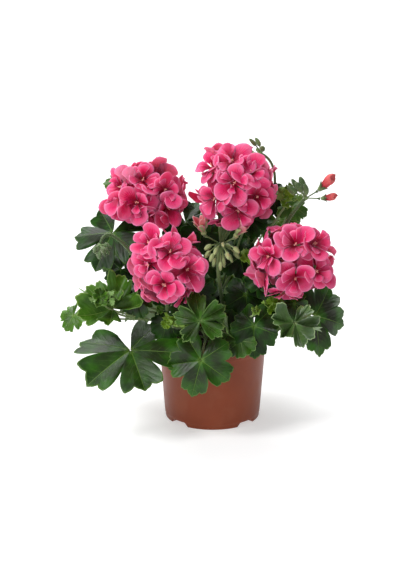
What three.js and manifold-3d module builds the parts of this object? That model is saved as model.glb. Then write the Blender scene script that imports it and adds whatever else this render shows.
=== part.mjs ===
// A potted geranium of the ivy-leaved kind: a brown plastic pot, its soil, seven stems, lobed
// leaves on their stalks, four rounded heads of pink flowers and three umbels still in bud.
// Millimetres, +Z up. The front is -Y, and +X is to the right of someone facing the front. The
// origin is on the floor at the pot's axis, where the middle of the pot's underside stands.

import * as THREE from "three";
import { mergeVertices } from "three/addons/utils/BufferGeometryUtils.js";
import Module from "manifold-3d";

const wasm = await Module();
wasm.setup();

// ---------------------------------------------------------------- driving dimensions

const GAP = 0.35; // between pieces that touch
const SLIVER = 0.15; // faces finer than this are merged away where many bars or petals meet

const POT = {
  height: 95,
  footRadius: 52.3,
  footHeight: 4.8, // the narrower ring that the pot stands on
  wallFootRadius: 52.9,
  wallTopRadius: 58.8,
  rimRadius: 60.6,
  rimHeight: 14, // of the thicker band round the mouth
  wall: 1.4,
  segments: 36,
  drains: 4, // raised channels across the underside, each ending in a notch
  drainHeight: 5,
  drainHalfWidth: 12.5,
  drainSlope: 4.5, // how far each side of a channel leans in
  drainReach: 17, // from the axis to a channel's inner end
  holeRadius: 3.6,
  holeAt: 34, // from the axis
};
const SOIL = { top: 84, relief: 2.4, rings: [0.3, 0.62, 0.88, 1], segments: 18 };
const STEM = { footRadius: 3.4, tipRadius: 2.1, rootDepth: 24, straight: 3, sides: 6, steps: 5 };
const LEAF = { thickness: 0.8, midShare: 0.52, stalkFoot: 1.3, stalkTip: 1.0, sides: 4, steps: 4 };
const HEAD = {
  coreShare: 0.4, // the core's radius, as a share of the head's
  throatShare: 0.74, // how far out the flowers' throats lie
  petalShare: 0.45,
  spread: 2.25, // radians from the head's axis to its lowest flowers
  petals: 5,
  petalThickness: 0.8,
  throatDepth: 6,
  tubeFoot: 2.0,
  tubeTip: 1.5,
  tubeSides: 4,
};
const STALK = { foot: 2.1, tip: 1.7, sides: 5, steps: 6, hookedSteps: 10, socketDepth: 4 };
const BUD = {
  sides: 4,
  hubRadius: 2.6,
  spread: 1.9, // radians from the bunch's axis to its outermost buds
  radii: [0.8, 0.8, 2.3, 2.2, 0.5], // from the hub to a green bud's tip
  stalkRadius: 0.8, // of a pink bud's own stalk, which widens to its calyx
  calyxRadius: 1.8,
  openingRadii: [1.8, 3.6, 5, 4.4, 1.6], // from a pink bud's foot to its tip
  openingSides: 6,
};
const TURN = Math.PI * 2;
const GOLDEN_TURN = Math.PI * (3 - Math.sqrt(5)); // between one flower of a head and the next

// ---------------------------------------------------------------- materials

const paint = (colour, roughness) =>
  new THREE.MeshStandardMaterial({ color: colour, roughness, metalness: 0 });

const MATERIAL = {
  pot: paint(0x8c4a32, 0.45),
  soil: paint(0x2b1d14, 0.95),
  stem: paint(0x5f7a3c, 0.75),
  leaf: paint(0x2f5a24, 0.5),
  youngLeaf: paint(0x4b7f33, 0.5),
  stalk: paint(0x6f9048, 0.6),
  petal: paint(0xe0457f, 0.6),
  bud: paint(0x7c9a55, 0.6),
};

// ---------------------------------------------------------------- layout, chosen by hand

// Each stem: where it leaves the soil (x, y), the point that it bends towards, and its tip.
const STEMS = {
  left_front: [[-20, -16], [-36, -24, 108], [-58, -32, 132]],
  left_back: [[-20, 12], [-34, 16, 130], [-66, 16, 178]],
  centre: [[12, -6], [14, -6, 104], [14, -4, 124]],
  front: [[-2, -25], [-4, -34, 102], [-8, -44, 116]],
  right_front: [[27, -14], [42, -26, 106], [62, -30, 128]],
  right_back: [[24, 14], [36, 20, 132], [58, 22, 178]],
  back: [[-2, 25], [2, 36, 120], [2, 44, 160]],
};

// How a kind of leaf is cut: lobes, how deep the notches between them run, how broad the lobes
// are and the angle that the blade spans; and how it lies: dished, pleated, its front half and
// its back half bent down.
const KINDS = {
  ivy: { lobes: 5, notch: 0.5, power: 2.6, span: 5.7, dish: -0.1, pleat: 0.1, bend: 0.25, back: 0.1 },
  broad: { lobes: 5, notch: 0.34, power: 3, span: 5.9, dish: -0.12, pleat: 0.1, bend: 0.3, back: 0.15 },
  wide: { lobes: 5, notch: 0.55, power: 2.4, span: 5.7, dish: -0.06, pleat: 0.1, bend: 0.1, back: 0.05 },
  round: { lobes: 5, notch: 0.18, power: 3, span: 6, dish: -0.1, pleat: 0.08, bend: 0.3, back: 0.6 },
  curly: { lobes: 5, notch: 0.42, power: 2.4, span: 5.8, dish: 0.4, pleat: 0.26, bend: -0.1, back: 0 },
};

// Each leaf: its stem, how far up the stem it grows, the point where its veins meet, its
// radius, the way its upper face looks, the way its middle lobe points, and its kind.
const LEAVES = {
  low_left: ["left_front", 0.6, [-89, -56, 94], 64, [-0.08, -0.32, 0.94], [0.25, -0.8, -0.3], "wide"],
  left_upper: ["left_back", 0.55, [-109, 2, 210], 46, [-0.2, -0.5, 0.85], [-0.4, -0.7, -0.4], "wide"],
  left_mid: ["left_front", 0.7, [-110, -47, 139], 36, [-0.1, -0.7, 0.7], [-0.6, 0.1, 0.8], "curly"],
  left_tip: ["left_front", 0.85, [-152, -20, 122], 20, [-0.35, -0.6, 0.72], [-0.5, -0.5, -0.7], "broad"],
  left_shade: ["left_front", 0.99, [-83, -38, 147], 21, [-0.1, -0.8, 0.6], [0.3, -0.6, -0.7], "broad"],
  pot_front: ["front", 0.75, [-13, -88, 94], 43, [0.02, -0.94, 0.34], [-0.25, -0.3, -1], "broad"],
  front_young: ["front", 0.95, [-14, -96, 141], 29, [0.02, -0.92, 0.38], [-0.15, 0.3, 1], "ivy"],
  rim_right: ["right_front", 0.3, [44, -68, 126], 32, [-0.2, -0.85, 0.48], [-0.05, -0.5, -0.9], "round"],
  right_young: ["right_front", 0.88, [87, -98, 141], 31, [0.1, -0.86, 0.5], [0.4, -0.4, -0.8], "ivy"],
  right_far: ["right_front", 0.8, [111, -38, 127], 44, [0.3, -0.85, 0.45], [1, -0.1, -0.12], "broad"],
  right_inner: ["right_front", 0.99, [88, -50, 145], 19, [-0.1, -0.8, 0.6], [-0.4, -0.3, 0.8], "broad"],
  left_top: ["left_back", 0.98, [-104, 52, 255], 20, [-0.3, -0.7, 0.6], [-0.5, 0.2, 0.9], "broad"],
  left_hidden: ["left_back", 0.42, [-101, 6, 167], 24, [-0.3, -0.7, 0.6], [-0.9, -0.3, -0.1], "ivy"],
  gap_left: ["left_back", 0.9, [-30, 30, 214], 34.5, [0.0, -0.75, 0.65], [0.3, -0.6, -0.5], "broad"],
  gap_right: ["right_back", 0.7, [73, 41, 212], 32, [0.1, -0.7, 0.7], [0.5, -0.6, -0.3], "broad"],
  right_top: ["right_back", 0.7, [87, 20, 234], 20, [0.2, -0.7, 0.7], [0.8, -0.2, -0.1], "broad"],
  centre_high: ["back", 0.6, [19, 45, 184], 32, [0.1, -0.8, 0.6], [0.1, 0.3, 0.9], "broad"],
  centre_dark: ["centre", 0.95, [36, -14, 144], 29, [0.15, -0.85, 0.45], [0.2, -0.4, -0.9], "round"],
  centre_left: ["front", 0.98, [-22, -30, 150], 30, [-0.1, -0.85, 0.5], [-0.2, 0.4, 0.9], "broad"],
  back_top: ["back", 0.98, [-14, 94, 192], 40, [0.0, 0.6, 0.8], [0.1, 0.8, -0.5], "broad"],
  back_left: ["left_back", 0.75, [-100, 66, 176], 42, [-0.5, 0.6, 0.65], [-0.7, 0.5, -0.4], "ivy"],
  back_low_left: ["back", 0.35, [-66, 84, 112], 46, [-0.35, 0.7, 0.6], [-0.4, 0.5, -0.8], "broad"],
  back_middle: ["back", 0.6, [4, 100, 140], 44, [0.0, 0.75, 0.66], [0.1, 0.6, -0.8], "round"],
  back_low_right: ["right_back", 0.3, [66, 82, 114], 44, [0.4, 0.7, 0.6], [0.4, 0.5, -0.8], "broad"],
  back_right: ["right_back", 0.5, [106, 52, 164], 42, [0.6, 0.45, 0.66], [0.8, 0.3, -0.4], "ivy"],
};
const YOUNG_LEAVES = ["left_mid", "left_tip", "front_young", "right_young", "left_top", "right_top"];

// Each head of flowers: its stem, how far up it grows, the head's middle, its radii, the way it
// faces, the point where its stalk branches, how many flowers it has and the seed of their turns.
const HEADS = {
  left: ["left_back", 0.85, [-76, 12, 252], [46, 40, 36], [-0.1, -0.4, 0.9], [-66, 10, 216], 10, 3],
  centre: ["centre", 0.99, [24, 0, 263], [46, 42, 48], [0, -0.7, 0.7], [9, 0, 197], 11, 8],
  low: ["left_front", 0.9, [-49, -58, 190], [41, 38, 46], [-0.1, -0.7, 0.7], [-50, -40, 150], 10, 5],
  right: ["right_front", 0.9, [86, -46, 191], [48, 40, 47], [0.1, -0.7, 0.7], [80, -26, 153], 10, 13],
};

// Each umbel in bud: its stem, how far up it grows, where its stalk branches, the way its buds
// point, how long they are, how many there are, the seed of their lengths and how widely the stalk
// hooks over on its way to them.
const UMBELS = {
  top: ["back", 0.9, [52, 46, 289], [-0.8, -0.1, 0.5], 15, 7, 4, 0.2],
  right: ["right_back", 0.99, [101, -6, 251], [-0.3, 0, 1], 25, 7, 9, 0.2],
  left: ["left_back", 0.48, [-120, -58, 213], [0.25, -0.2, -1], 20, 7, 6, 0.32],
};
// The green buds that hang from the hub below the centre head: pointing, length, count, seed.
const CENTRE_BUDS = [[0, -0.3, -1], 24, 8, 2];

// Each pink bud about to open: the stalk node that carries it, where its own stalk starts, its
// foot and its tip.
const OPENING_BUDS = {
  right_high: ["bud_umbel_right", [101, -6, 251], [114, -8, 260], [130, -10, 276]],
  right_low: ["bud_umbel_right", [101, -6, 251], [117, -8, 251], [133, -10, 254]],
  hub_left: ["flower_stalk_centre", [9, 0, 197], [-8, -9, 208], [-15, -14, 221]],
  hub_right: ["flower_stalk_centre", [9, 0, 197], [22, -10, 208], [31, -15, 220]],
};

// ---------------------------------------------------------------- solids

// A closed three.js geometry as a solid that can be joined and cut.
function solid(shape) {
  const bare = shape.clone();
  bare.deleteAttribute("normal");
  bare.deleteAttribute("uv");
  const merged = mergeVertices(bare, 1e-3);
  const surface = new wasm.Mesh({
    numProp: 3,
    vertProperties: new Float32Array(merged.attributes.position.array),
    triVerts: new Uint32Array(merged.index.array),
  });
  return new wasm.Manifold(surface);
}

const tidied = (made) => made.asOriginal().simplify(SLIVER);

function shapeOf(made) {
  const surface = made.getMesh();
  const shape = new THREE.BufferGeometry();
  shape.setAttribute("position", new THREE.BufferAttribute(surface.vertProperties, 3));
  shape.setIndex(new THREE.BufferAttribute(surface.triVerts, 1));
  return shape;
}

function facets(points, faces) {
  const shape = new THREE.BufferGeometry();
  shape.setFromPoints(points);
  shape.setIndex(faces.flat());
  return shape;
}

const group = new THREE.Group();

function add(name, made, material) {
  const mesh = new THREE.Mesh(shapeOf(made), material.clone());
  mesh.name = name;
  group.add(mesh);
}

const at = (row) => new THREE.Vector3(...row);
const along = (start, direction, distance) => start.clone().addScaledVector(direction, distance);

// A round bar along a curve; radiusAt gives its radius at each share of its length.
function bar(curve, radiusAt, sides, steps) {
  const frames = curve.computeFrenetFrames(steps, false);
  const points = [];
  const faces = [];
  for (let step = 0; step <= steps; step += 1) {
    const middle = curve.getPointAt(step / steps);
    const radius = radiusAt(step / steps);
    for (let side = 0; side < sides; side += 1) {
      const angle = (side / sides) * TURN;
      const rim = along(middle, frames.normals[step], radius * Math.cos(angle));
      points.push(rim.addScaledVector(frames.binormals[step], radius * Math.sin(angle)));
    }
  }
  for (let step = 0; step < steps; step += 1) {
    for (let side = 0; side < sides; side += 1) {
      const here = step * sides + side;
      const next = step * sides + ((side + 1) % sides);
      faces.push([here, next, here + sides], [next, next + sides, here + sides]);
    }
  }
  const last = steps * sides;
  for (let side = 1; side < sides - 1; side += 1) {
    faces.push([0, side + 1, side], [last, last + side, last + side + 1]);
  }
  return solid(facets(points, faces));
}

const taper = (foot, tip) => (share) => foot + (tip - foot) * share;

// A thin sheet: its middle surface, thickened evenly to both sides and closed round its edge.
function sheet(points, faces, edge, thickness) {
  const middle = facets(points, faces);
  middle.computeVertexNormals();
  const normals = middle.getAttribute("normal");
  const both = [];
  for (const side of [thickness / 2, -thickness / 2]) {
    points.forEach((point, index) => {
      const normal = new THREE.Vector3().fromBufferAttribute(normals, index);
      both.push(along(point, normal, side));
    });
  }
  const under = points.length;
  const skin = faces.map((face) => [...face]);
  faces.forEach(([a, b, c]) => skin.push([a + under, c + under, b + under]));
  edge.forEach((here, index) => {
    const next = edge[(index + 1) % edge.length];
    skin.push([here, here + under, next + under], [here, next + under, next]);
  });
  return solid(facets(both, skin));
}

// Three unit directions: out of a face, along its middle and across it.
function directions(facing, pointing) {
  const out = facing.clone().normalize();
  const forward = along(pointing, out, -pointing.dot(out)).normalize();
  const across = new THREE.Vector3().crossVectors(forward, out);
  return { out, forward, across };
}

// ---------------------------------------------------------------- pot and soil

function wallRadius(height) {
  const rise = (height - POT.footHeight) / (POT.height - POT.rimHeight - POT.footHeight);
  return POT.wallFootRadius + (POT.wallTopRadius - POT.wallFootRadius) * rise;
}

function turned(profile, segments) {
  const outline = profile.map(([radius, height]) => new THREE.Vector2(radius, height));
  return solid(new THREE.LatheGeometry(outline, segments).rotateX(Math.PI / 2));
}

// One drain: a low ridge with sloping sides, from near the axis out to the given reach.
function drain(turn, reach, height, halfWidth) {
  const top = halfWidth - POT.drainSlope;
  const outline = new THREE.Shape([
    new THREE.Vector2(-halfWidth, -1),
    new THREE.Vector2(halfWidth, -1),
    new THREE.Vector2(top, height),
    new THREE.Vector2(-top, height),
  ]);
  const length = reach - POT.drainReach;
  const ridge = new THREE.ExtrudeGeometry(outline, { depth: length, bevelEnabled: false });
  ridge.rotateX(Math.PI / 2);
  ridge.translate(0, reach, 0);
  ridge.rotateZ(turn);
  return solid(ridge);
}

function drains(reach, height, halfWidth) {
  let all = drain(TURN / 8, reach, height, halfWidth);
  for (let index = 1; index < POT.drains; index += 1) {
    all = all.add(drain((index + 0.5) * (TURN / POT.drains), reach, height, halfWidth));
  }
  return all;
}

function potOutside() {
  const rimFoot = POT.height - POT.rimHeight;
  return turned([
    [0, 0],
    [POT.footRadius, 0],
    [POT.footRadius, POT.footHeight - 0.5],
    [POT.wallFootRadius, POT.footHeight],
    [POT.wallTopRadius, rimFoot],
    [POT.rimRadius - 0.4, rimFoot + 0.8],
    [POT.rimRadius, POT.height],
    [0, POT.height],
  ], POT.segments);
}

function potInside(extra, top) {
  const rimFoot = POT.height - POT.rimHeight;
  const inset = POT.wall + extra;
  return turned([
    [0, POT.wall + extra],
    [POT.footRadius - inset, POT.wall + extra],
    [POT.wallTopRadius - inset, rimFoot],
    [POT.rimRadius - inset - 0.4, rimFoot + 1],
    [POT.rimRadius - inset - 0.4, top],
    [0, top],
  ], POT.segments);
}

function pot() {
  const inside = potInside(0, POT.height + 5);
  const ridges = drains(POT.footRadius - 1, POT.drainHeight + POT.wall, POT.drainHalfWidth + POT.wall);
  let made = potOutside().subtract(inside).add(ridges.intersect(potOutside()));
  made = made.subtract(drains(POT.footRadius + 5, POT.drainHeight, POT.drainHalfWidth));
  for (let index = 0; index < POT.drains; index += 1) {
    const hole = new THREE.CylinderGeometry(POT.holeRadius, POT.holeRadius, 20, 10);
    hole.rotateX(Math.PI / 2);
    hole.translate(0, POT.holeAt, 0);
    hole.rotateZ((index + 0.5) * (TURN / POT.drains));
    made = made.subtract(solid(hole));
  }
  return made;
}

// The soil's top is a low mound with uneven crumbs; each stem stands in a plain hole.
function soilTop() {
  const middle = new THREE.Vector3(0, 0, SOIL.top + SOIL.relief);
  const points = [middle];
  const faces = [];
  SOIL.rings.forEach((share, ring) => {
    for (let step = 0; step < SOIL.segments; step += 1) {
      const angle = (step / SOIL.segments) * TURN;
      const uneven = Math.sin(3 * angle + ring * 2) + Math.sin(7 * angle + ring * 5);
      const radius = share * 70;
      const height = SOIL.top + SOIL.relief * (1 - share) + 0.35 * SOIL.relief * uneven;
      points.push(new THREE.Vector3(radius * Math.cos(angle), radius * Math.sin(angle), height));
    }
  });
  for (let step = 0; step < SOIL.segments; step += 1) {
    const next = (step + 1) % SOIL.segments;
    faces.push([0, 1 + step, 1 + next]);
    for (let ring = 1; ring < SOIL.rings.length; ring += 1) {
      const inner = 1 + (ring - 1) * SOIL.segments;
      const outer = inner + SOIL.segments;
      faces.push([inner + step, outer + step, outer + next]);
      faces.push([inner + step, outer + next, inner + next]);
    }
  }
  return { points, faces };
}

function soil() {
  const { points, faces } = soilTop();
  const count = points.length;
  const outer = count - SOIL.segments;
  points.push(new THREE.Vector3(0, 0, -5));
  for (let step = 0; step < SOIL.segments; step += 1) {
    const rim = points[outer + step];
    points.push(new THREE.Vector3(rim.x, rim.y, -5));
  }
  for (let step = 0; step < SOIL.segments; step += 1) {
    const next = (step + 1) % SOIL.segments;
    faces.push([outer + step, count + 1 + step, count + 1 + next]);
    faces.push([outer + step, count + 1 + next, outer + next]);
    faces.push([count, count + 1 + next, count + 1 + step]);
  }
  const block = solid(facets(points, faces));
  const lift = POT.wall + GAP;
  const ridges = drains(POT.footRadius + 5, POT.drainHeight + lift, POT.drainHalfWidth + lift);
  let made = potInside(GAP, POT.height).intersect(block).subtract(ridges);
  for (const [foot] of Object.values(STEMS)) {
    const radius = STEM.footRadius / Math.cos(Math.PI / STEM.sides) + GAP;
    const depth = STEM.rootDepth + GAP;
    const hole = new THREE.CylinderGeometry(radius, radius, depth + 20, STEM.sides);
    hole.rotateX(Math.PI / 2);
    hole.translate(foot[0], foot[1], SOIL.top - depth + (depth + 20) / 2);
    made = made.subtract(solid(hole));
  }
  return made;
}

// ---------------------------------------------------------------- stems

// A stem stands straight in the soil and bends once it is clear of it.
const stemBend = (name) => {
  const [foot, towards, tip] = STEMS[name];
  const start = new THREE.Vector3(foot[0], foot[1], SOIL.top + STEM.straight);
  const rise = new THREE.Vector3(foot[0], foot[1], SOIL.top + (towards[2] - SOIL.top) * 0.6);
  return new THREE.CubicBezierCurve3(start, rise, at(towards), at(tip));
};

function stem(name) {
  const bend = stemBend(name);
  const root = bend.v0.clone().setZ(SOIL.top - STEM.rootDepth);
  const collar = bend.v0.clone().setZ(SOIL.top + STEM.straight + 1.5);
  const below = bar(new THREE.LineCurve3(root, collar), () => STEM.footRadius + 0.05, STEM.sides, 1);
  return tidied(below.add(bar(bend, taper(STEM.footRadius, STEM.tipRadius), STEM.sides, STEM.steps)));
}

// Where a stalk springs from its stem, square to the stem and just clear of it, and the point
// that it heads for first: a way out from the stem, and then up.
function springing(stemName, share, target, foot, outShare, upShare) {
  const bend = stemBend(stemName);
  const middle = bend.getPoint(share);
  const tangent = bend.getTangent(share);
  const way = target.clone().sub(middle);
  const distance = way.length();
  way.addScaledVector(tangent, -way.dot(tangent)).normalize();
  const first = way.clone().multiplyScalar(outShare * distance);
  first.z += upShare * distance;
  const lean = Math.sqrt(1 - (first.dot(way) / first.length()) ** 2);
  const stemRadius = STEM.footRadius + (STEM.tipRadius - STEM.footRadius) * share;
  const start = along(middle, way, stemRadius + 1.2 * GAP + foot * lean);
  return { start, rise: start.clone().add(first), distance };
}

// ---------------------------------------------------------------- leaves

const TEETH = [-1, -2 / 3, -1 / 3, 0, 1 / 3, 2 / 3]; // places across a lobe, notch to notch

// A point of a blade: which lobe, how far across it from -1 to 1, and how far out from 0 to 1.
function bladePoint(kind, radius, lobe, across, share) {
  const angle = (lobe + across / 2) * (kind.span / kind.lobes);
  const scallop = 1 - 0.06 * (1 - Math.abs(Math.cos(1.5 * Math.PI * across)));
  const cut = 1 - kind.notch * Math.abs(across) ** kind.power;
  const reach = share * radius * (1 - 0.06 * Math.abs(lobe)) * cut * scallop;
  const forward = reach * Math.cos(angle);
  const aside = -reach * Math.sin(angle);
  const dished = (kind.dish * reach * reach) / radius;
  const pleated = kind.pleat * reach * (Math.abs(across) - 0.4);
  const bent = ((forward > 0 ? kind.bend : kind.back) * forward * forward) / radius;
  return [aside, forward, dished + pleated - bent];
}

function blade(hub, radius, axes, kind) {
  const place = (lobe, across, share) => {
    const [aside, forward, height] = bladePoint(kind, radius, lobe, across, share);
    const point = along(hub, axes.across, aside).addScaledVector(axes.forward, forward);
    return point.addScaledVector(axes.out, height);
  };
  const half = (kind.lobes - 1) / 2;
  const inner = [];
  const outer = [];
  for (let lobe = -half; lobe <= half; lobe += 1) {
    inner.push(place(lobe, -1, LEAF.midShare), place(lobe, 0, LEAF.midShare));
    TEETH.forEach((across) => outer.push(place(lobe, across, 1)));
  }
  inner.push(place(half, 1, LEAF.midShare));
  outer.push(place(half, 1, 1));
  const points = [hub, ...inner, ...outer];
  const faces = [];
  const rim = 1 + inner.length;
  for (let index = 0; index < inner.length - 1; index += 1) {
    const [here, next] = [1 + index, 2 + index];
    const first = rim + index * 3;
    faces.push([0, here, next]);
    if (index % 2 === 0) {
      faces.push([here, first, first + 1], [here, first + 1, next]);
      faces.push([next, first + 1, first + 2], [next, first + 2, first + 3]);
    } else {
      faces.push([here, first, first + 1], [here, first + 1, first + 2]);
      faces.push([here, first + 2, next], [next, first + 2, first + 3]);
    }
  }
  const edge = [0, 1];
  for (let index = rim; index < points.length; index += 1) edge.push(index);
  edge.push(rim - 1);
  return { made: sheet(points, faces, edge, LEAF.thickness), seat: hub.clone().lerp(inner[kind.lobes], 0.1) };
}

function leaf(row) {
  const [stemName, share, hubRow, radius, facing, pointing, kind] = row;
  const hub = at(hubRow);
  const axes = directions(at(facing), at(pointing));
  const { made, seat } = blade(hub, radius, axes, KINDS[kind]);
  const { start, rise, distance } = springing(stemName, share, hub, LEAF.stalkFoot, 0.3, 0.35);
  const approach = along(seat, axes.out, -0.3 * distance);
  const path = new THREE.CubicBezierCurve3(start, rise, approach, seat);
  return made.add(bar(path, taper(LEAF.stalkFoot, LEAF.stalkTip), LEAF.sides, LEAF.steps));
}

// ---------------------------------------------------------------- flowers

// A repeatable number from 0 to 1 for each flower and use.
function chance(seed, index) {
  const wave = Math.sin(seed * 12.9898 + index * 78.233) * 43758.5453;
  return wave - Math.floor(wave);
}

// The ways that a head's flowers face: spread evenly round its axis by the golden turn.
function flowerWays(axis, flowers, seed, spread) {
  const axes = directions(axis, new THREE.Vector3(0.3, 0.9, 0.2));
  const ways = [];
  for (let index = 0; index < flowers; index += 1) {
    const rise = 1 - ((index + 0.5) / flowers) * (1 - Math.cos(spread));
    const flat = Math.sqrt(1 - rise * rise);
    const turn = index * GOLDEN_TURN + seed;
    const way = axes.out.clone().multiplyScalar(rise);
    way.addScaledVector(axes.across, flat * Math.cos(turn));
    way.addScaledVector(axes.forward, flat * Math.sin(turn));
    ways.push(way);
  }
  return ways;
}

// One flower's petals as a single five-lobed sheet: a throat, and a notch between petals.
function corolla(throat, way, size, roll) {
  const axes = directions(way, new THREE.Vector3(0.31, 0.17, 0.93));
  const place = (reach, angle, height) => {
    const point = along(throat, axes.across, reach * Math.cos(angle));
    point.addScaledVector(axes.forward, reach * Math.sin(angle));
    return point.addScaledVector(axes.out, height);
  };
  const points = [along(throat, axes.out, -HEAD.throatDepth)];
  const faces = [];
  const edge = [];
  const slice = TURN / HEAD.petals;
  const each = 4;
  for (let index = 0; index < HEAD.petals; index += 1) {
    const angle = roll + index * slice;
    points.push(place(size * 0.6, angle, size * 0.1));
    points.push(place(size * 0.42, angle - slice / 2, 0));
    points.push(place(size * 0.97, angle - slice * 0.27, size * 0.2));
    points.push(place(size * 0.97, angle + slice * 0.27, size * 0.2));
    const middle = 1 + index * each;
    const next = 2 + ((index + 1) % HEAD.petals) * each;
    faces.push([0, middle + 1, middle], [0, middle, next]);
    faces.push([middle, middle + 1, middle + 2], [middle, middle + 2, middle + 3]);
    faces.push([middle, middle + 3, next]);
    edge.push(middle + 1, middle + 2, middle + 3);
  }
  return sheet(points, faces, edge, HEAD.petalThickness);
}

function head(row) {
  const [, , centreRow, radii, facing, hubRow, flowers, seed] = row;
  const centre = at(centreRow);
  const size = (radii[0] + radii[2]) / 2;
  const coreRadius = size * HEAD.coreShare;
  const core = new THREE.IcosahedronGeometry(coreRadius, 1);
  core.translate(centre.x, centre.y, centre.z);
  let made = solid(core);
  flowerWays(at(facing).normalize(), flowers, seed, HEAD.spread).forEach((way, index) => {
    const reach = 1 / Math.hypot(way.x / radii[0], way.y / radii[1], way.z / radii[2]);
    const deep = HEAD.throatShare - 0.1 * chance(seed, index);
    const throat = along(centre, way, reach * deep);
    const petalSize = size * (HEAD.petalShare + 0.06 * chance(seed + 1, index));
    const foot = along(centre, way, coreRadius * 0.6);
    const tip = along(throat, way, -HEAD.throatDepth + 0.4);
    const tube = bar(new THREE.LineCurve3(foot, tip), taper(HEAD.tubeFoot, HEAD.tubeTip), HEAD.tubeSides, 1);
    made = made.add(tube);
    made = made.add(corolla(throat, way, petalSize, chance(seed + 2, index) * TURN));
  });
  const towards = centre.clone().sub(at(hubRow)).normalize();
  const mouth = along(centre, towards, -size * 1.3);
  const end = along(centre, towards, -coreRadius + STALK.socketDepth + GAP);
  const socket = bar(new THREE.LineCurve3(mouth, end), () => STALK.tip / 0.85 + GAP, STALK.sides, 1);
  return tidied(made.subtract(socket));
}

// One bud on its own thin stalk, in one curved bar: radii at even steps from hub to tip.
function bud(hub, bend, tip) {
  const radii = BUD.radii;
  const path = new THREE.QuadraticBezierCurve3(hub, bend, tip);
  const radiusAt = (share) => radii[Math.round(share * (radii.length - 1))];
  return bar(path, radiusAt, BUD.sides, radii.length - 1);
}

// A bunch of buds round a hub, spread about the way that the bunch points.
function buds(hub, pointing, length, count, seed) {
  const axis = at(pointing).normalize();
  let made = solid(new THREE.IcosahedronGeometry(BUD.hubRadius, 0).translate(hub.x, hub.y, hub.z));
  flowerWays(axis, count, seed, BUD.spread).forEach((way, index) => {
    const reach = length * (0.8 + 0.4 * chance(seed, index));
    const bend = along(hub, way, reach * 0.5);
    const tip = along(bend, way, reach * 0.25).addScaledVector(axis, reach * 0.25);
    made = made.add(bud(hub, bend, tip));
  });
  return made;
}

// The thin stalks of the pink buds that a stalk carries, each ending just short of its bud.
function openingStalks(carrier) {
  const bars = [];
  for (const [stalk, hub, foot, tip] of Object.values(OPENING_BUDS)) {
    if (stalk !== carrier) continue;
    const way = at(tip).sub(at(foot)).normalize();
    const middle = at(hub).lerp(at(foot), 0.5).addScaledVector(way, 1);
    const path = new THREE.QuadraticBezierCurve3(at(hub), middle, along(at(foot), way, -2.5 * GAP));
    bars.push(bar(path, taper(BUD.stalkRadius, BUD.calyxRadius), BUD.sides, 3));
  }
  return bars;
}

function openingBud([, , footRow, tipRow]) {
  const radii = BUD.openingRadii;
  const radiusAt = (share) => radii[Math.round(share * (radii.length - 1))];
  return bar(new THREE.LineCurve3(at(footRow), at(tipRow)), radiusAt, BUD.openingSides, radii.length - 1);
}

// A stalk's bent part, from its stem to the hub, arriving in the given direction.
function stalkBend(stemName, share, hub, arriving, hook, outShare, upShare, steps) {
  const { start, rise, distance } = springing(stemName, share, hub, STALK.foot, outShare, upShare);
  const approach = along(hub, arriving, -hook * distance);
  const path = new THREE.CubicBezierCurve3(start, rise, approach, hub);
  return bar(path, taper(STALK.foot, STALK.tip), STALK.sides, steps);
}

// A head's stalk: up from the stem to the hub, then on into the socket of the head's core.
function headStalk(name, row) {
  const [stemName, share, centreRow, radii, , hubRow] = row;
  const centre = at(centreRow);
  const hub = at(hubRow);
  const towards = centre.clone().sub(hub).normalize();
  const coreRadius = ((radii[0] + radii[2]) / 2) * HEAD.coreShare;
  const end = along(centre, towards, -coreRadius + STALK.socketDepth);
  const upper = new THREE.LineCurve3(along(hub, towards, -1), end);
  let made = stalkBend(stemName, share, hub, towards, 0.3, 0.08, 0.4, STALK.steps);
  made = made.add(bar(upper, () => STALK.tip, STALK.sides, 1));
  if (name === "centre") made = made.add(buds(hub, ...CENTRE_BUDS));
  openingStalks("flower_stalk_" + name).forEach((thin) => (made = made.add(thin)));
  return tidied(made);
}

function umbel(name, row) {
  const [stemName, share, hubRow, pointing, length, count, seed, hook] = row;
  const hub = at(hubRow);
  const arriving = at(pointing).normalize();
  let made = stalkBend(stemName, share, hub, arriving, hook, 0.35, 0.1, STALK.hookedSteps);
  made = made.add(buds(hub, pointing, length, count, seed));
  openingStalks("bud_umbel_" + name).forEach((thin) => (made = made.add(thin)));
  return tidied(made);
}

// ---------------------------------------------------------------- assembly

add("pot", pot(), MATERIAL.pot);
add("soil", soil(), MATERIAL.soil);
for (const name of Object.keys(STEMS)) add("stem_" + name, stem(name), MATERIAL.stem);
for (const [name, row] of Object.entries(LEAVES)) {
  add("leaf_" + name, leaf(row), YOUNG_LEAVES.includes(name) ? MATERIAL.youngLeaf : MATERIAL.leaf);
}
for (const [name, row] of Object.entries(HEADS)) {
  add("flowers_" + name, head(row), MATERIAL.petal);
  add("flower_stalk_" + name, headStalk(name, row), MATERIAL.stalk);
}
for (const [name, row] of Object.entries(UMBELS)) add("bud_umbel_" + name, umbel(name, row), MATERIAL.bud);
for (const [name, row] of Object.entries(OPENING_BUDS)) {
  add("opening_bud_" + name, openingBud(row), MATERIAL.petal);
}

export default group;
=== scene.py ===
# %% [markdown]
# # A potted ivy-leaved geranium
#
# This lesson dresses the measured solids of a potted geranium. They already hold the pot, the
# soil and every stem, leaf and head of flowers in its true place, but with few faces. Blender's
# work is what the eye goes to: the scalloped leaves, the layered petals, the satin pot.
#
# Nothing here needs a picture. Each piece is grown from a few numbers by the same rules as the
# coarse solid that it stands for, with many more points. So a fine leaf always lies on its
# coarse one, and the plant keeps its measured size.

# %% The tools and the measured solids
import math

import bmesh
import bpy
import numpy as np
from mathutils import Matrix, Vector, noise


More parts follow.
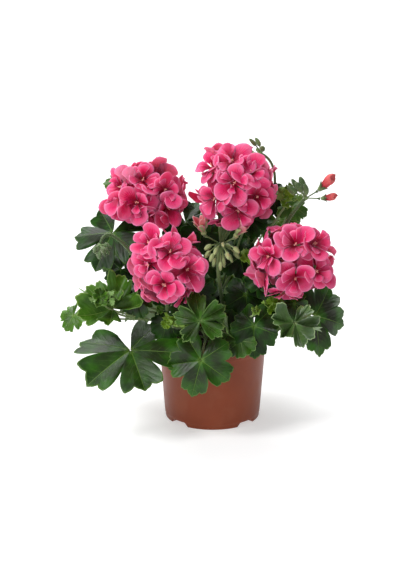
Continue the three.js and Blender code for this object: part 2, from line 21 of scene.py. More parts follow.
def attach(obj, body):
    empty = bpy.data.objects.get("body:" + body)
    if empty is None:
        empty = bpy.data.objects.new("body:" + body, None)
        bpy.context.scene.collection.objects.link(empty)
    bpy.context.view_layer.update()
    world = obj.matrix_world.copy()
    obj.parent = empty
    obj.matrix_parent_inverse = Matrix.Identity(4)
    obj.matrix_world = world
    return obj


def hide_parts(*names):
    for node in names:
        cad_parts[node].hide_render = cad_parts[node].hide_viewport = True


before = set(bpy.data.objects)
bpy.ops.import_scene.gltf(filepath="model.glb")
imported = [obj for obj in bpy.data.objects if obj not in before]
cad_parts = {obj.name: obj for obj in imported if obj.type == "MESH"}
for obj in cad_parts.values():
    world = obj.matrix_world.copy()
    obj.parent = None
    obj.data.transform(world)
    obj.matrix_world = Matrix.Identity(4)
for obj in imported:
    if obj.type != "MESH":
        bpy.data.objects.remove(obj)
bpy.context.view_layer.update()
print("solids to dress:", len(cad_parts))

# %% [markdown]
# ## Camera
#
# The plant is seen from a little above the rim of its pot, from so far away that its stalks look
# almost parallel. A long lens at a good distance gives that calm view, and turning the camera by
# its tilt alone keeps the pot upright in the picture.

# %% Camera
PICTURE_HEIGHT = 570  # pixels
CAMERA_DISTANCE = 2.2
CAMERA_TILT = math.radians(17.5)  # looking down on the plant
CAMERA_TARGET = (-0.0138, 0.0, 0.1505)
FOCAL_PIXELS = 2000  # how many pixels one unit of slope covers
SENSOR = 36.0  # millimetres, along the picture's longer side

camera_data = bpy.data.cameras.new("camera")
camera_data.lens = FOCAL_PIXELS * SENSOR / PICTURE_HEIGHT
camera_data.sensor_width = SENSOR
camera = bpy.data.objects.new("camera", camera_data)
back = Vector((0, -math.cos(CAMERA_TILT), math.sin(CAMERA_TILT)))
camera.location = Vector(CAMERA_TARGET) + back * CAMERA_DISTANCE
camera.rotation_euler = (math.pi / 2 - CAMERA_TILT, 0, 0)
bpy.context.scene.collection.objects.link(camera)
bpy.context.scene.camera = camera
print("lens:", round(camera_data.lens, 1), "mm")

# %% [markdown]
# ## Light
#
# Petals and leaves are thin and matt, so hard lamps make them look like painted tin. Area lights
# are soft boxes: the bigger a light is, the softer the edge of its shadow. The key box stands
# high at the front left and models the petals. A wider and weaker box stands low in front and
# opens the shadows under the leaves. A third, four metres wide, hangs high behind the plant. It
# lights the heads from above and puts the gloss on the leaves.
#
# The sky is dim, because a bright one would veil every dark leaf with its reflection. The floor
# glows a little by itself instead, so that it stays pale where the boxes don't reach.

# %% Light and floor
SKY_COLOUR = (0.97, 0.98, 1.0, 1)
SKY_STRENGTH = 0.24
FLOOR_HALF = 15.0
FLOOR_COLOUR = (0.6, 0.6, 0.6, 1)
FLOOR_GLOW = 0.5  # keeps the floor pale where the boxes don't reach
FLOOR_ROUGHNESS = 0.9
SOFT_BOXES = {  # where it stands, what it looks at, how wide it is, and its power in watts
    "key_box": ((-1.35, -0.95, 2.0), (0, 0, 0.18), 0.8, 46),
    "fill_box": ((-1.0, -2.2, 0.65), (0, 0, 0.15), 1.5, 12.5),
    "ceiling": ((-0.6, 3.0, 4.2), (0, 0.8, 0), 3.8, 300),
}

scene = bpy.context.scene
scene.view_settings.view_transform = "Standard"
scene.view_settings.look = "None"
world = bpy.data.worlds.new("pale_sky")
scene.world = world
world.use_nodes = True
sky = world.node_tree.nodes["Background"]
sky.inputs["Color"].default_value = SKY_COLOUR
sky.inputs["Strength"].default_value = SKY_STRENGTH

for name, (place, target, width, power) in SOFT_BOXES.items():
    lamp = bpy.data.lights.new(name, "AREA")
    lamp.size = width
    lamp.energy = power
    box = bpy.data.objects.new(name, lamp)
    box.location = place
    towards = Vector(target) - Vector(place)
    box.rotation_euler = towards.to_track_quat("-Z", "Y").to_euler()
    scene.collection.objects.link(box)

floor_mesh = bpy.data.meshes.new("floor")
floor_signs = ((-1, -1), (1, -1), (1, 1), (-1, 1))
floor_corners = [(x * FLOOR_HALF, y * FLOOR_HALF, 0) for x, y in floor_signs]
floor_mesh.from_pydata(floor_corners, [], [(0, 1, 2, 3)])
floor = bpy.data.objects.new("floor", floor_mesh)
scene.collection.objects.link(floor)
floor_paint = bpy.data.materials.new("floor_paint")
floor_paint.use_nodes = True
floor_shader = floor_paint.node_tree.nodes["Principled BSDF"]
floor_shader.inputs["Base Color"].default_value = FLOOR_COLOUR
floor_shader.inputs["Roughness"].default_value = FLOOR_ROUGHNESS
floor_shader.inputs["Emission Color"].default_value = (1, 1, 1, 1)
floor_shader.inputs["Emission Strength"].default_value = FLOOR_GLOW
floor_mesh.materials.append(floor_paint)
print("soft boxes:", len(SOFT_BOXES))

# %% [markdown]
# ## From points to a mesh
#
# Every living piece here is one of two things: a round bar along a curve, such as a stalk, or a
# thin sheet, such as a leaf or a petal. Both start as a grid of points, worked out with numpy in
# millimetres. The faces of a grid are always the same, so one function makes them all.
#
# Each point also carries three numbers called its place: how far it is across and along its own
# leaf or petal, and one random number for the whole leaf or petal. A fourth, its side, tells the
# upper face of a sheet from the under face. Materials read them to paint veins, zones and
# margins that follow the form.

# %% Grids of points
MM = 0.001


class Shape:
    """Points in millimetres, their faces, and the numbers that a material reads at each point."""

    def __init__(self, points, faces, place, side=0.0, paint=0):
        self.points = np.asarray(points, float).reshape(-1, 3)
        self.faces = faces
        self.place = np.broadcast_to(place, self.points.shape)
        self.side = np.broadcast_to(side, len(self.points))
        self.paint = paint


def grid_faces(rows, columns, wrapped=False):
    """The quads of a grid of points, which may close on itself round its columns."""
    row = np.arange(rows - 1)[:, None] * columns
    column = np.arange(columns if wrapped else columns - 1)[None, :]
    following = (column + 1) % columns
    corners = [row + column, row + columns + column, row + columns + following, row + following]
    return np.stack([corner.ravel() for corner in corners], 1)


def unit(vector):
    """The same direction, one long."""
    vector = np.asarray(vector, float)
    return vector / np.linalg.norm(vector, axis=-1, keepdims=True)


print("grid of 3 by 4 points:", len(grid_faces(3, 4)), "faces")

# %% [markdown]
# ## Thin sheets
#
# A leaf has a thickness, and so has a petal. A solidify modifier could give it, but here the
# sheet is thicker at its foot than at its rim. So each point is moved up and down by half of its
# own thickness, and one ring of faces closes the edge.

# %% Thin sheets
NO_CREASE = 1e-12  # keeps the normal of a pinched corner from dividing by nothing


def sheet(points, thickness, place, paint=0):
    """A thin closed sheet: the grid's surface, thickened to both sides and closed at its edge."""
    rows, columns = points.shape[:2]
    normal = np.cross(np.gradient(points, axis=0), np.gradient(points, axis=1))
    normal = unit(normal + NO_CREASE)
    half = np.broadcast_to(thickness, (rows, columns))[..., None] / 2
    upper = (points + normal * half).reshape(-1, 3)
    under = (points - normal * half).reshape(-1, 3)
    count = rows * columns
    top = grid_faces(rows, columns)
    index = np.arange(count).reshape(rows, columns)
    rim = np.concatenate([index[:, 0], index[-1, 1:], index[-2::-1, -1], index[0, -2:0:-1]])
    following = np.roll(rim, -1)
    edge = np.stack([rim, rim + count, following + count, following], 1)
    faces = np.concatenate([top, top[:, ::-1] + count, edge])
    both = np.concatenate([place.reshape(-1, 3)] * 2)
    side = np.repeat([0.0, 1.0], count)
    return Shape(np.concatenate([upper, under]), [faces], both, side, paint)


flat_grid = np.stack(np.broadcast_arrays(np.arange(3.0)[:, None], np.arange(4.0)[None, :], 0.0), -1)
print("sheet of 3 by 4 points:", len(sheet(flat_grid, 1.0, flat_grid).faces[0]), "faces")

# %% [markdown]
# ## Round bars
#
# A stalk bends softly, so its path is a Bezier curve. A bevelled curve object would do for a
# plain stalk, but stems have joints and buds have ribs, so each point of the path gets a ring of
# its own radius. The ring is carried along without twisting, by taking out of its first spoke
# whatever part has come to point ahead.

# %% Round bars
FIRST_SPOKE = (0.31, 0.57, 0.76)  # any direction in which no path sets out


def curve(corners, steps):
    """Points along a Bezier curve through its first and last corner."""
    share = np.linspace(0, 1, steps + 1)[:, None]
    layers = [np.asarray(corner, float) + share * 0 for corner in corners]
    while len(layers) > 1:
        layers = [a * (1 - share) + b * share for a, b in zip(layers, layers[1:])]
    return layers[0]


def bar(path, radii, sides=10, draw=0.5, ridges=0, ridge_depth=0.0, paint=0):
    """A round bar along a path, with a radius at each point, closed at both ends."""
    path = np.asarray(path, float)
    steps = len(path)
    radii = np.broadcast_to(radii, steps)
    ahead = unit(np.gradient(path, axis=0))
    first = np.cross(ahead[0], FIRST_SPOKE)
    sideways = [unit(first)]
    for tangent in ahead[1:]:
        carried = sideways[-1] - tangent * (sideways[-1] @ tangent)
        sideways.append(unit(carried))
    sideways = np.array(sideways)
    upward = np.cross(ahead, sideways)
    angle = np.arange(sides) / sides * math.tau
    swell = 1 + ridge_depth * np.cos(ridges * angle)
    spokes = sideways[:, None] * np.cos(angle)[:, None] + upward[:, None] * np.sin(angle)[:, None]
    rings = path[:, None] + spokes * (radii[:, None] * swell)[..., None]
    points = np.concatenate([rings.reshape(-1, 3), path[:1], path[-1:]])
    last = (steps - 1) * sides
    turn = np.arange(sides)
    following = (turn + 1) % sides
    foot = np.stack([np.full(sides, steps * sides), turn, following], 1)
    tip = np.stack([np.full(sides, steps * sides + 1), last + following, last + turn], 1)
    walls = grid_faces(steps, sides, wrapped=True)[:, ::-1]
    share = np.append(np.repeat(np.linspace(0, 1, steps), sides), [0, 1])
    place = np.stack([share * 0, share, share * 0 + draw], 1)
    return Shape(points, [walls, foot[:, ::-1], tip[:, ::-1]], place, 0.0, paint)


print("bar of 3 rings:", len(bar(curve([(0, 0, 0), (0, 0, 1)], 2), 1.0).points), "points")

# %% [markdown]
# ## One object from many shapes
#
# A head of flowers has hundreds of petals. As single objects they would be slow and untidy, so
# all the shapes of one piece are joined into one mesh. Each shape keeps the number of the
# material that it is painted with. The piece then rides on the plant's body and takes the place
# of the coarse solids that it stands for.

# %% One object from many shapes
def piece(name, shapes, paints, slot, *nodes):
    """One Blender object from many shapes. It stands for the named nodes of the frame."""
    mesh = bpy.data.meshes.new(name)
    starts = np.cumsum([0] + [len(shape.points) for shape in shapes])
    blocks = [
        (faces + start, shape.paint)
        for shape, start in zip(shapes, starts)
        for faces in shape.faces
    ]
    corners = np.concatenate([faces.ravel() for faces, _ in blocks])
    widths = np.concatenate([np.full(len(faces), faces.shape[1]) for faces, _ in blocks])
    slots = np.concatenate([np.full(len(faces), paint) for faces, paint in blocks])
    points = np.concatenate([shape.points for shape in shapes]) * MM
    mesh.vertices.add(len(points))
    mesh.vertices.foreach_set("co", points.astype(np.float32).ravel())
    mesh.loops.add(len(corners))
    mesh.loops.foreach_set("vertex_index", corners.astype(np.int32))
    mesh.polygons.add(len(widths))
    mesh.polygons.foreach_set("loop_start", np.append(0, np.cumsum(widths)[:-1]).astype(np.int32))
    mesh.polygons.foreach_set("material_index", slots.astype(np.int32))
    mesh.polygons.foreach_set("use_smooth", np.ones(len(widths), bool))
    mesh.update(calc_edges=True)
    place = mesh.attributes.new("place", "FLOAT_VECTOR", "POINT")
    place.data.foreach_set("vector", np.concatenate([s.place for s in shapes]).astype(np.float32).ravel())
    side = mesh.attributes.new("side", "FLOAT", "POINT")
    side.data.foreach_set("value", np.concatenate([s.side for s in shapes]).astype(np.float32))
    for paint in paints:
        mesh.materials.append(paint)
    made = bpy.data.objects.new(name, mesh)
    scene.collection.objects.link(made)
    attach(made, "root")
    if nodes:
        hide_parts(*nodes)
    return made


# %% [markdown]
# ## Wiring materials
#
# A material's nodes are wired by short helpers. Each takes plain numbers or the output of
# another node. Colours are named as a painter mixes them, from 0 to 255, and turned into the
# linear light that Blender reckons in.

# %% Short words for material nodes
def mixed(red, green, blue):
    """A colour as a painter reads it off a chart, in linear light."""
    shares = [value / 255 for value in (red, green, blue)]
    return (*[s / 12.92 if s < 0.04045 else ((s + 0.055) / 1.055) ** 2.4 for s in shares], 1)


def wire(tree, socket, value):
    """Links another node's output to a socket, or sets the socket to a plain value."""
    if isinstance(value, bpy.types.NodeSocket):
        tree.links.new(value, socket)
    else:
        socket.default_value = value


def reckon(tree, operation, first, second=0.0):
    """One step of arithmetic."""
    node = tree.nodes.new("ShaderNodeMath")
    node.operation = operation
    wire(tree, node.inputs[0], first)
    wire(tree, node.inputs[1], second)
    return node.outputs[0]


def rise(tree, value, low, high):
    """0 at low, 1 at high, and a smooth slope between them."""
    node = tree.nodes.new("ShaderNodeMapRange")
    node.interpolation_type = "SMOOTHSTEP"
    wire(tree, node.inputs["Value"], value)
    wire(tree, node.inputs["From Min"], low)
    wire(tree, node.inputs["From Max"], high)
    return node.outputs["Result"]


def tint(tree, share, first, second):
    """The first colour, going over to the second with the share."""
    node = tree.nodes.new("ShaderNodeMix")
    node.data_type = "RGBA"
    wire(tree, node.inputs[0], share)
    wire(tree, node.inputs[6], first)
    wire(tree, node.inputs[7], second)
    return node.outputs[2]


print("leaf green in linear light:", [round(part, 3) for part in mixed(44, 84, 38)])

# %% [markdown]
# ## What a material reads
#
# A finish needs three kinds of news about the point that it paints: soft random patches, where
# the point lies on its own leaf, and which face it is on. A bump node turns a height into small
# dents and ribs. With these, one function can put any finish together.

# %% Patches, places and relief
def mottle(tree, per_metre, detail=2.0):
    """Soft random patches, as many to the metre as asked."""
    where = tree.nodes.new("ShaderNodeTexCoord").outputs["Object"]
    node = tree.nodes.new("ShaderNodeTexNoise")
    node.inputs["Scale"].default_value = per_metre
    node.inputs["Detail"].default_value = detail
    wire(tree, node.inputs["Vector"], where)
    return node.outputs[0]


def place_of(tree):
    """How far across and along its leaf or petal a point is, and the leaf's own random number."""
    read = tree.nodes.new("ShaderNodeAttribute")
    read.attribute_name = "place"
    split = tree.nodes.new("ShaderNodeSeparateXYZ")
    tree.links.new(read.outputs["Vector"], split.inputs[0])
    return split.outputs


def side_of(tree):
    """0 on a sheet's upper face and 1 on its under face."""
    read = tree.nodes.new("ShaderNodeAttribute")
    read.attribute_name = "side"
    return read.outputs["Fac"]


def relief(tree, height, depth):
    """A surface that is dented by the height, which is scaled to a depth in metres."""
    node = tree.nodes.new("ShaderNodeBump")
    node.inputs["Strength"].default_value = 1.0
    node.inputs["Distance"].default_value = depth
    wire(tree, node.inputs["Height"], height)
    return node.outputs[0]


def finish(name, colour, roughness, normal=None, **fixed):
    """A material with a new tree of nodes; colour, roughness and normal are made by functions."""
    material = bpy.data.materials.new(name)
    material.use_nodes = True
    tree = material.node_tree
    shader = tree.nodes["Principled BSDF"]
    wire(tree, shader.inputs["Base Color"], colour(tree))
    wire(tree, shader.inputs["Roughness"], roughness(tree))
    if normal:
        wire(tree, shader.inputs["Normal"], normal(tree))
    for socket, value in fixed.items():
        shader.inputs[socket.replace("_", " ")].default_value = value
    return material


words = (wire, reckon, rise, tint, mottle, place_of, side_of, relief, finish)
print("words for materials:", *[word.__name__ for word in words])

# %% [markdown]
# ## Leaf skin
#
# An ivy-leaved geranium has thick, half-glossy leaves. Pale veins spread from the stalk, one to
# the middle of each lobe, with finer ones branching forwards. The skin is pressed in along them
# and swells like a pillow between.
#
# Veins could be painted on a picture. Here they are reckoned from each point's place instead, so
# they stay sharp at any distance and fit leaves of any size. A side vein is a line on which the
# way along the lobe, less a part of the way aside, is a whole number of steps.

# %% Veins of a leaf
RIB_WIDTH = 0.019  # as a share of the leaf's radius
RIB_REACH = 1.25  # the rib would end this far out, so it still shows at the margin
BRANCH_EVERY = 0.15  # how far apart the side veins leave the main one
BRANCH_SLANT = 1.35  # how steeply they run forwards
BRANCH_STRENGTH = 0.3
LOBE_HALF_ANGLE = 0.57  # radians


def vein_steps(tree):
    """How far a point is aside of its lobe's rib, and how many side veins lie before it."""
    across, along, draw = place_of(tree)
    aside = reckon(tree, "MULTIPLY", reckon(tree, "MULTIPLY", across, along), LOBE_HALF_ANGLE)
    slanted = reckon(tree, "SUBTRACT", along, reckon(tree, "MULTIPLY", aside, BRANCH_SLANT))
    steps = reckon(tree, "ADD", reckon(tree, "DIVIDE", slanted, BRANCH_EVERY), draw)
    return along, aside, steps


def vein_share(tree):
    """1 on a vein and 0 between the veins."""
    along, aside, steps = vein_steps(tree)
    width = reckon(tree, "MULTIPLY", reckon(tree, "SUBTRACT", RIB_REACH, along), RIB_WIDTH)
    rib = rise(tree, aside, width, reckon(tree, "MULTIPLY", width, 0.3))
    part = reckon(tree, "FRACT", steps)
    distance = reckon(tree, "ABSOLUTE", reckon(tree, "SUBTRACT", part, 0.5))
    near_rib = rise(tree, aside, 0.3, 0.02)
    branch = reckon(tree, "MULTIPLY", rise(tree, distance, 0.07, 0.02), near_rib)
    branch = reckon(tree, "MULTIPLY", branch, BRANCH_STRENGTH)
    return reckon(tree, "MAXIMUM", rib, branch)


def pillow(tree):
    """The blade's swelling between its side veins, from 0 on a vein to 1 between them."""
    _, aside, steps = vein_steps(tree)
    wave = reckon(tree, "SINE", reckon(tree, "MULTIPLY", steps, math.pi))
    return reckon(tree, "MULTIPLY", reckon(tree, "ABSOLUTE", wave), rise(tree, aside, 0.0, 0.12))


print("side veins to each half of a lobe:", round(1 / BRANCH_EVERY))

# %% [markdown]
# A brown-purple ring, the zone, crosses most leaves. It is stronger on some than on others, so
# the leaf's own random number scales it, and a soft noise makes its edges ragged. The margin is
# a paler green, and the under face is dull and light.
#
# Six finishes come from one function, because leaves change as they age: full-grown ones are
# deep green, young ones bright, and those still folded are lime. Half-grown leaves lie between,
# and one of them is so glossy that it mirrors the light. Leaves in the shade of others get a near
# black copy of the skin, partly the darker green of older leaves and partly painted shade.

# %% Leaf skins
def leaf_skin(name, deep, fresh, zone, vein, under, zone_strength, margin=0.55, gloss=0.28):
    """A leaf's finish. zone_strength and margin say how clearly the zone and the edge show."""

    def colour(tree):
        _, along, draw = place_of(tree)
        base = tint(tree, rise(tree, mottle(tree, 55), 0.3, 0.7), deep, fresh)
        ragged = reckon(tree, "ADD", along, reckon(tree, "MULTIPLY", mottle(tree, 120), 0.25))
        ring = reckon(tree, "MULTIPLY", rise(tree, ragged, 0.4, 0.6), rise(tree, ragged, 0.98, 0.72))
        own = reckon(tree, "ADD", reckon(tree, "MULTIPLY", draw, 0.55), 0.45)
        own = reckon(tree, "MULTIPLY", ring, reckon(tree, "MULTIPLY", own, zone_strength))
        base = tint(tree, own, base, zone)
        base = tint(tree, rise(tree, along, 0.2, 0.0), base, vein)
        base = tint(tree, reckon(tree, "MULTIPLY", vein_share(tree), 0.75), base, vein)
        edge = reckon(tree, "MULTIPLY", rise(tree, along, 0.955, 0.985), margin)
        base = tint(tree, edge, base, vein)
        return tint(tree, side_of(tree), base, under)

    def roughness(tree):
        return reckon(tree, "ADD", 0.3, reckon(tree, "MULTIPLY", mottle(tree, 90), 0.2))

    def normal(tree):
        fine = reckon(tree, "MULTIPLY", mottle(tree, 900), 0.35)
        veined = reckon(tree, "SUBTRACT", fine, vein_share(tree))
        swollen = reckon(tree, "ADD", veined, reckon(tree, "MULTIPLY", pillow(tree), 0.3))
        lumps = reckon(tree, "MULTIPLY", mottle(tree, 60), 1.6)
        return relief(tree, reckon(tree, "ADD", swollen, lumps), 0.0004)

    return finish(name, colour, roughness, normal, Specular_IOR_Level=gloss)


leaf_paint = leaf_skin(
    "leaf_skin",
    deep=mixed(22, 50, 2),
    fresh=mixed(42, 88, 8),
    zone=mixed(26, 26, 12),
    vein=mixed(92, 126, 48),
    under=mixed(92, 120, 70),
    zone_strength=0.95,
)
# A near black copy of the leaf skin for leaves in the shade of others: partly the darker green of older
# leaves, partly painted shade.
shaded_old_paint = leaf_skin(
    "shaded_old_leaf_skin",
    deep=mixed(12, 36, 2),
    fresh=mixed(30, 70, 8),
    zone=mixed(20, 22, 8),
    vein=mixed(72, 106, 36),
    under=mixed(60, 84, 44),
    zone_strength=0.85,
    gloss=0.18,
)
young_paint = leaf_skin(
    "young_leaf_skin",
    deep=mixed(42, 80, 4),
    fresh=mixed(74, 118, 26),
    zone=mixed(36, 46, 14),
    vein=mixed(122, 150, 72),
    under=mixed(112, 144, 80),
    zone_strength=0.45,
    margin=0.8,
)
half_grown_paint = leaf_skin(
    "half_grown_leaf_skin",
    deep=mixed(30, 60, 6),
    fresh=mixed(54, 96, 18),
    zone=mixed(40, 48, 18),
    vein=mixed(118, 148, 78),
    under=mixed(98, 130, 74),
    zone_strength=0.55,
    margin=0.8,
    gloss=0.3,
)
glossy_paint = leaf_skin(
    "glossy_leaf_skin",
    deep=mixed(36, 66, 14),
    fresh=mixed(70, 104, 40),
    zone=mixed(50, 56, 30),
    vein=mixed(126, 150, 90),
    under=mixed(98, 130, 74),
    zone_strength=0.5,
    margin=0.8,
    gloss=0.9,
)
lime_paint = leaf_skin(
    "folded_leaf_skin",
    deep=mixed(70, 104, 6),
    fresh=mixed(108, 142, 30),
    zone=mixed(90, 110, 20),
    vein=mixed(150, 176, 84),
    under=mixed(124, 156, 70),
    zone_strength=0.2,
)
leaf_paints = (leaf_paint, shaded_old_paint, young_paint, half_grown_paint, glossy_paint, lime_paint)
print("leaf finishes:", *[paint.name for paint in leaf_paints])

# %% [markdown]
# ## Petals
#
# A petal is deep crimson at its foot, where fine dark veins fan out, and a clear pink further
# on. Its rim and its under face are paler, and a thin lip along the edge is palest of all. The
# pale rim and lip are partly the petal's own margin and partly painted highlight: they keep the
# edge faces, which turn from the light, from showing as a dark line, and tell one petal from the
# next in a crowded head. In a furled bud that lip is dark instead, painted shade where it lies in
# a fold. Smooth petals would look like wax, so a coarse noise crumples the skin and the veins rib
# it.
#
# A petal lets light through. Real transparency is slow with a thousand petals, so a touch of
# subsurface light stands for it, and the folds of a head glow instead of going black.

# %% Petal skin
PETAL_VEINS = 30  # radians of streak from one edge of a petal to the other
PETAL_CRUMPLE = 7  # the weight of the coarse noise in the relief; the ribs have 1


def petal_rim(tree, along, across, along_from, along_to, across_from, across_to):
    """1 on the edge of a petal, at its end and at both its sides."""
    beside = rise(tree, reckon(tree, "ABSOLUTE", across), across_from, across_to)
    return reckon(tree, "MAXIMUM", rise(tree, along, along_from, along_to), beside)


def petal_skin(name, foot, middle, rim, under, lip):
    """A petal's finish: a colour for its foot, middle, rim, under face and very edge."""

    def colour(tree):
        across, along, draw = place_of(tree)
        wobble = reckon(tree, "MULTIPLY", mottle(tree, 260), 2.5)
        veins = reckon(tree, "ADD", reckon(tree, "MULTIPLY", across, PETAL_VEINS), wobble)
        wave = rise(tree, reckon(tree, "SINE", veins), 0.1, 0.95)
        streak = reckon(tree, "MULTIPLY", wave, rise(tree, along, 0.95, 0.35))
        base = tint(tree, rise(tree, along, 0.08, 0.8), foot, middle)
        base = tint(tree, reckon(tree, "MULTIPLY", rise(tree, along, 0.6, 1.0), 0.5), base, rim)
        patches = reckon(tree, "MULTIPLY", rise(tree, mottle(tree, 70), 0.35, 0.75), 0.3)
        base = tint(tree, patches, base, rim)
        base = tint(tree, reckon(tree, "MULTIPLY", streak, 0.6), base, foot)
        # Toward its edge a petal goes paler: partly its own margin, partly painted highlight that keeps the
        # edge faces, turned from the light, from reading as a dark line.
        edge = petal_rim(tree, along, across, 0.9, 1.0, 0.84, 1.0)
        edge = reckon(tree, "MULTIPLY", edge, rise(tree, along, 0.25, 0.6))
        base = tint(tree, reckon(tree, "MULTIPLY", edge, 0.65), base, rim)
        base = tint(tree, reckon(tree, "MULTIPLY", draw, 0.25), base, middle)
        base = tint(tree, reckon(tree, "MULTIPLY", side_of(tree), 0.7), base, under)
        # The lip is palest on an open petal, partly painted highlight; on a furled bud it is dark, painted
        # shade in the folds.
        hem = petal_rim(tree, along, across, 0.955, 0.985, 0.93, 0.98)
        hem_strength = reckon(tree, "MULTIPLY", rise(tree, along, 0.3, 0.6), 0.55)
        return tint(tree, reckon(tree, "MULTIPLY", hem, hem_strength), base, lip)

    def roughness(tree):
        return reckon(tree, "ADD", 0.5, reckon(tree, "MULTIPLY", mottle(tree, 300), 0.15))

    def normal(tree):
        across, along, _ = place_of(tree)
        wave = reckon(tree, "SINE", reckon(tree, "MULTIPLY", across, PETAL_VEINS))
        ribs = reckon(tree, "MULTIPLY", wave, rise(tree, along, 1.0, 0.3))
        crumples = reckon(tree, "MULTIPLY", mottle(tree, 110), PETAL_CRUMPLE)
        return relief(tree, reckon(tree, "ADD", ribs, crumples), 0.00025)

    return finish(
        name,
        colour,
        roughness,
        normal,
        Subsurface_Weight=0.4,
        Subsurface_Radius=(1.0, 0.2, 0.3),
        Subsurface_Scale=0.003,
        Specular_IOR_Level=0.12,
    )


petal_paint = petal_skin(
    "petal_skin",
    foot=mixed(172, 0, 44),
    middle=mixed(217, 35, 100),
    rim=mixed(229, 128, 165),
    under=mixed(232, 136, 166),
    lip=mixed(236, 140, 172),
)
opening_paint = petal_skin(
    "furled_petal_skin",
    foot=mixed(150, 24, 44),
    middle=mixed(186, 50, 64),
    rim=mixed(222, 128, 122),
    under=mixed(200, 86, 92),
    # This dark lip is painted shade in the folds between a furled bud's petals.
    lip=mixed(150, 26, 46),
)
half_open_paint = petal_skin(
    "half_open_petal_skin",
    foot=mixed(206, 120, 100),
    middle=mixed(218, 96, 118),
    rim=mixed(236, 168, 168),
    under=mixed(230, 150, 152),
    lip=mixed(240, 196, 192),
)
print("petal finishes:", petal_paint.name, opening_paint.name, half_open_paint.name)

# %% [markdown]
# ## Green parts
#
# Stalks, buds and stems are green with brown or reddish patches, and downy. A little sheen on
# the shader stands for hairs too fine to model, and the longer hairs are modelled further on.
# They share the skin of the stalk that they stand on. A number that no stalk has marks them, and
# the skin paints them pale where it finds it.

# %% Green skins and stamens
HAIR_MARK = 2.0  # stands in a hair's random number
HAIR_COLOUR = mixed(186, 200, 150)


def green_skin(name, foot, tip, blush, roughness):
    """A downy finish that goes from one colour to another, with patches of a third."""

    def colour(tree):
        _, along, draw = place_of(tree)
        base = tint(tree, rise(tree, along, 0.1, 0.9), foot, tip)
        patches = rise(tree, mottle(tree, 140), 0.5, 0.75)
        base = tint(tree, reckon(tree, "MULTIPLY", patches, 0.5), base, blush)
        return tint(tree, rise(tree, draw, 1.2, 1.8), base, HAIR_COLOUR)

    def rough(tree):
        return reckon(tree, "ADD", roughness, reckon(tree, "MULTIPLY", mottle(tree, 200), 0.15))

    def normal(tree):
        return relief(tree, mottle(tree, 1400), 0.00015)

    return finish(name, colour, rough, normal, Sheen_Weight=0.35, Sheen_Roughness=0.4)


stalk_paint = green_skin(
    "stalk_skin", mixed(92, 116, 62), mixed(124, 146, 90), mixed(128, 122, 84), 0.5
)
bud_paint = green_skin(
    "bud_skin", mixed(104, 132, 70), mixed(92, 112, 62), mixed(122, 88, 64), 0.55
)
dark_bud_paint = green_skin(
    "dark_bud_skin", mixed(112, 136, 84), mixed(58, 84, 38), mixed(84, 84, 50), 0.55
)
# A paler copy of the bud skin for the buds at the middle head's hub, which hang in that head's shade: the
# buds' own pale down, brightened further as painted light.
pale_lit_bud_paint = green_skin(
    "pale_lit_bud_skin", mixed(112, 142, 72), mixed(176, 190, 128), mixed(170, 128, 92), 0.5
)
stem_paint = green_skin(
    "stem_skin", mixed(92, 78, 48), mixed(92, 112, 50), mixed(84, 64, 42), 0.6
)
stamen_paint = green_skin(
    "stamen_skin", mixed(236, 120, 150), mixed(246, 170, 160), mixed(200, 60, 60), 0.5
)
green_paints = (stalk_paint, bud_paint, dark_bud_paint, pale_lit_bud_paint, stem_paint, stamen_paint)
print("green finishes:", *[paint.name for paint in green_paints])

# %% [markdown]
# ## The plan of the plant
#
# A plant is a tree of carriers: soil carries stems, stems carry leaves and flower stalks, and
# stalks carry heads and buds. The plan lists them in that order, in millimetres from the middle
# of the pot's underside. The coarse solids were grown from the same lists, so each fine piece
# lands on its own.
#
# A stem is one smooth bend: upright out of the soil, and then leaning to where it has grown.
# A stalk springs from inside its stem's skin, so that no gap shows where the two meet.

# %% Stems and how they bend
UP = np.array((0.0, 0.0, 1.0))
SOIL_TOP = 84  # above the pot's underside
STEM_FOOT = 3.4  # a stem's radius at its foot
STEM_TIP = 2.1
STEMS = {  # foot on the soil, the bend, and the tip
    "left_front": ((-20, -16), (-36, -24, 108), (-58, -32, 132)),
    "left_back": ((-20, 12), (-34, 16, 130), (-66, 16, 178)),
    "centre": ((12, -6), (14, -6, 104), (14, -4, 124)),
    "front": ((-2, -25), (-4, -34, 102), (-8, -44, 116)),
    "right_front": ((27, -14), (42, -26, 106), (62, -30, 128)),
    "right_back": ((24, 14), (36, 20, 132), (58, 22, 178)),
    "back": ((-2, 25), (2, 36, 120), (2, 44, 160)),
}


def stem_bend(stem):
    """The four corners of a stem's Bezier curve."""
    foot, towards, tip = STEMS[stem]
    start = (*foot, SOIL_TOP + 3)
    rising = (*foot, SOIL_TOP + (towards[2] - SOIL_TOP) * 0.6)
    return [np.array(corner, float) for corner in (start, rising, towards, tip)]


def bend_at(corners, share):
    """A point on a Bezier curve, and the way that the curve runs there."""
    layers = [np.asarray(corner, float) for corner in corners]
    while len(layers) > 2:
        layers = [a * (1 - share) + b * share for a, b in zip(layers, layers[1:])]
    return layers[0] * (1 - share) + layers[1] * share, unit(layers[1] - layers[0])


def springing(stem, share, target, outward, upward):
    """Where a stalk starts in its stem's skin, and the point that it first heads for."""
    middle, tangent = bend_at(stem_bend(stem), share)
    span = np.asarray(target, float) - middle
    distance = np.linalg.norm(span)
    way = unit(span - tangent * (span @ tangent))
    radius = STEM_FOOT + (STEM_TIP - STEM_FOOT) * share
    start = middle + way * radius * 0.5
    return start, start + way * (radius + outward * distance) + UP * upward * distance, distance


def directions(facing, pointing):
    """Three axes at right angles: out of a face, forward in it, and across."""
    out = unit(facing)
    forward = np.asarray(pointing, float)
    forward = unit(forward - out * (out @ forward))
    return out, forward, np.cross(forward, out)


print("stems:", len(STEMS))

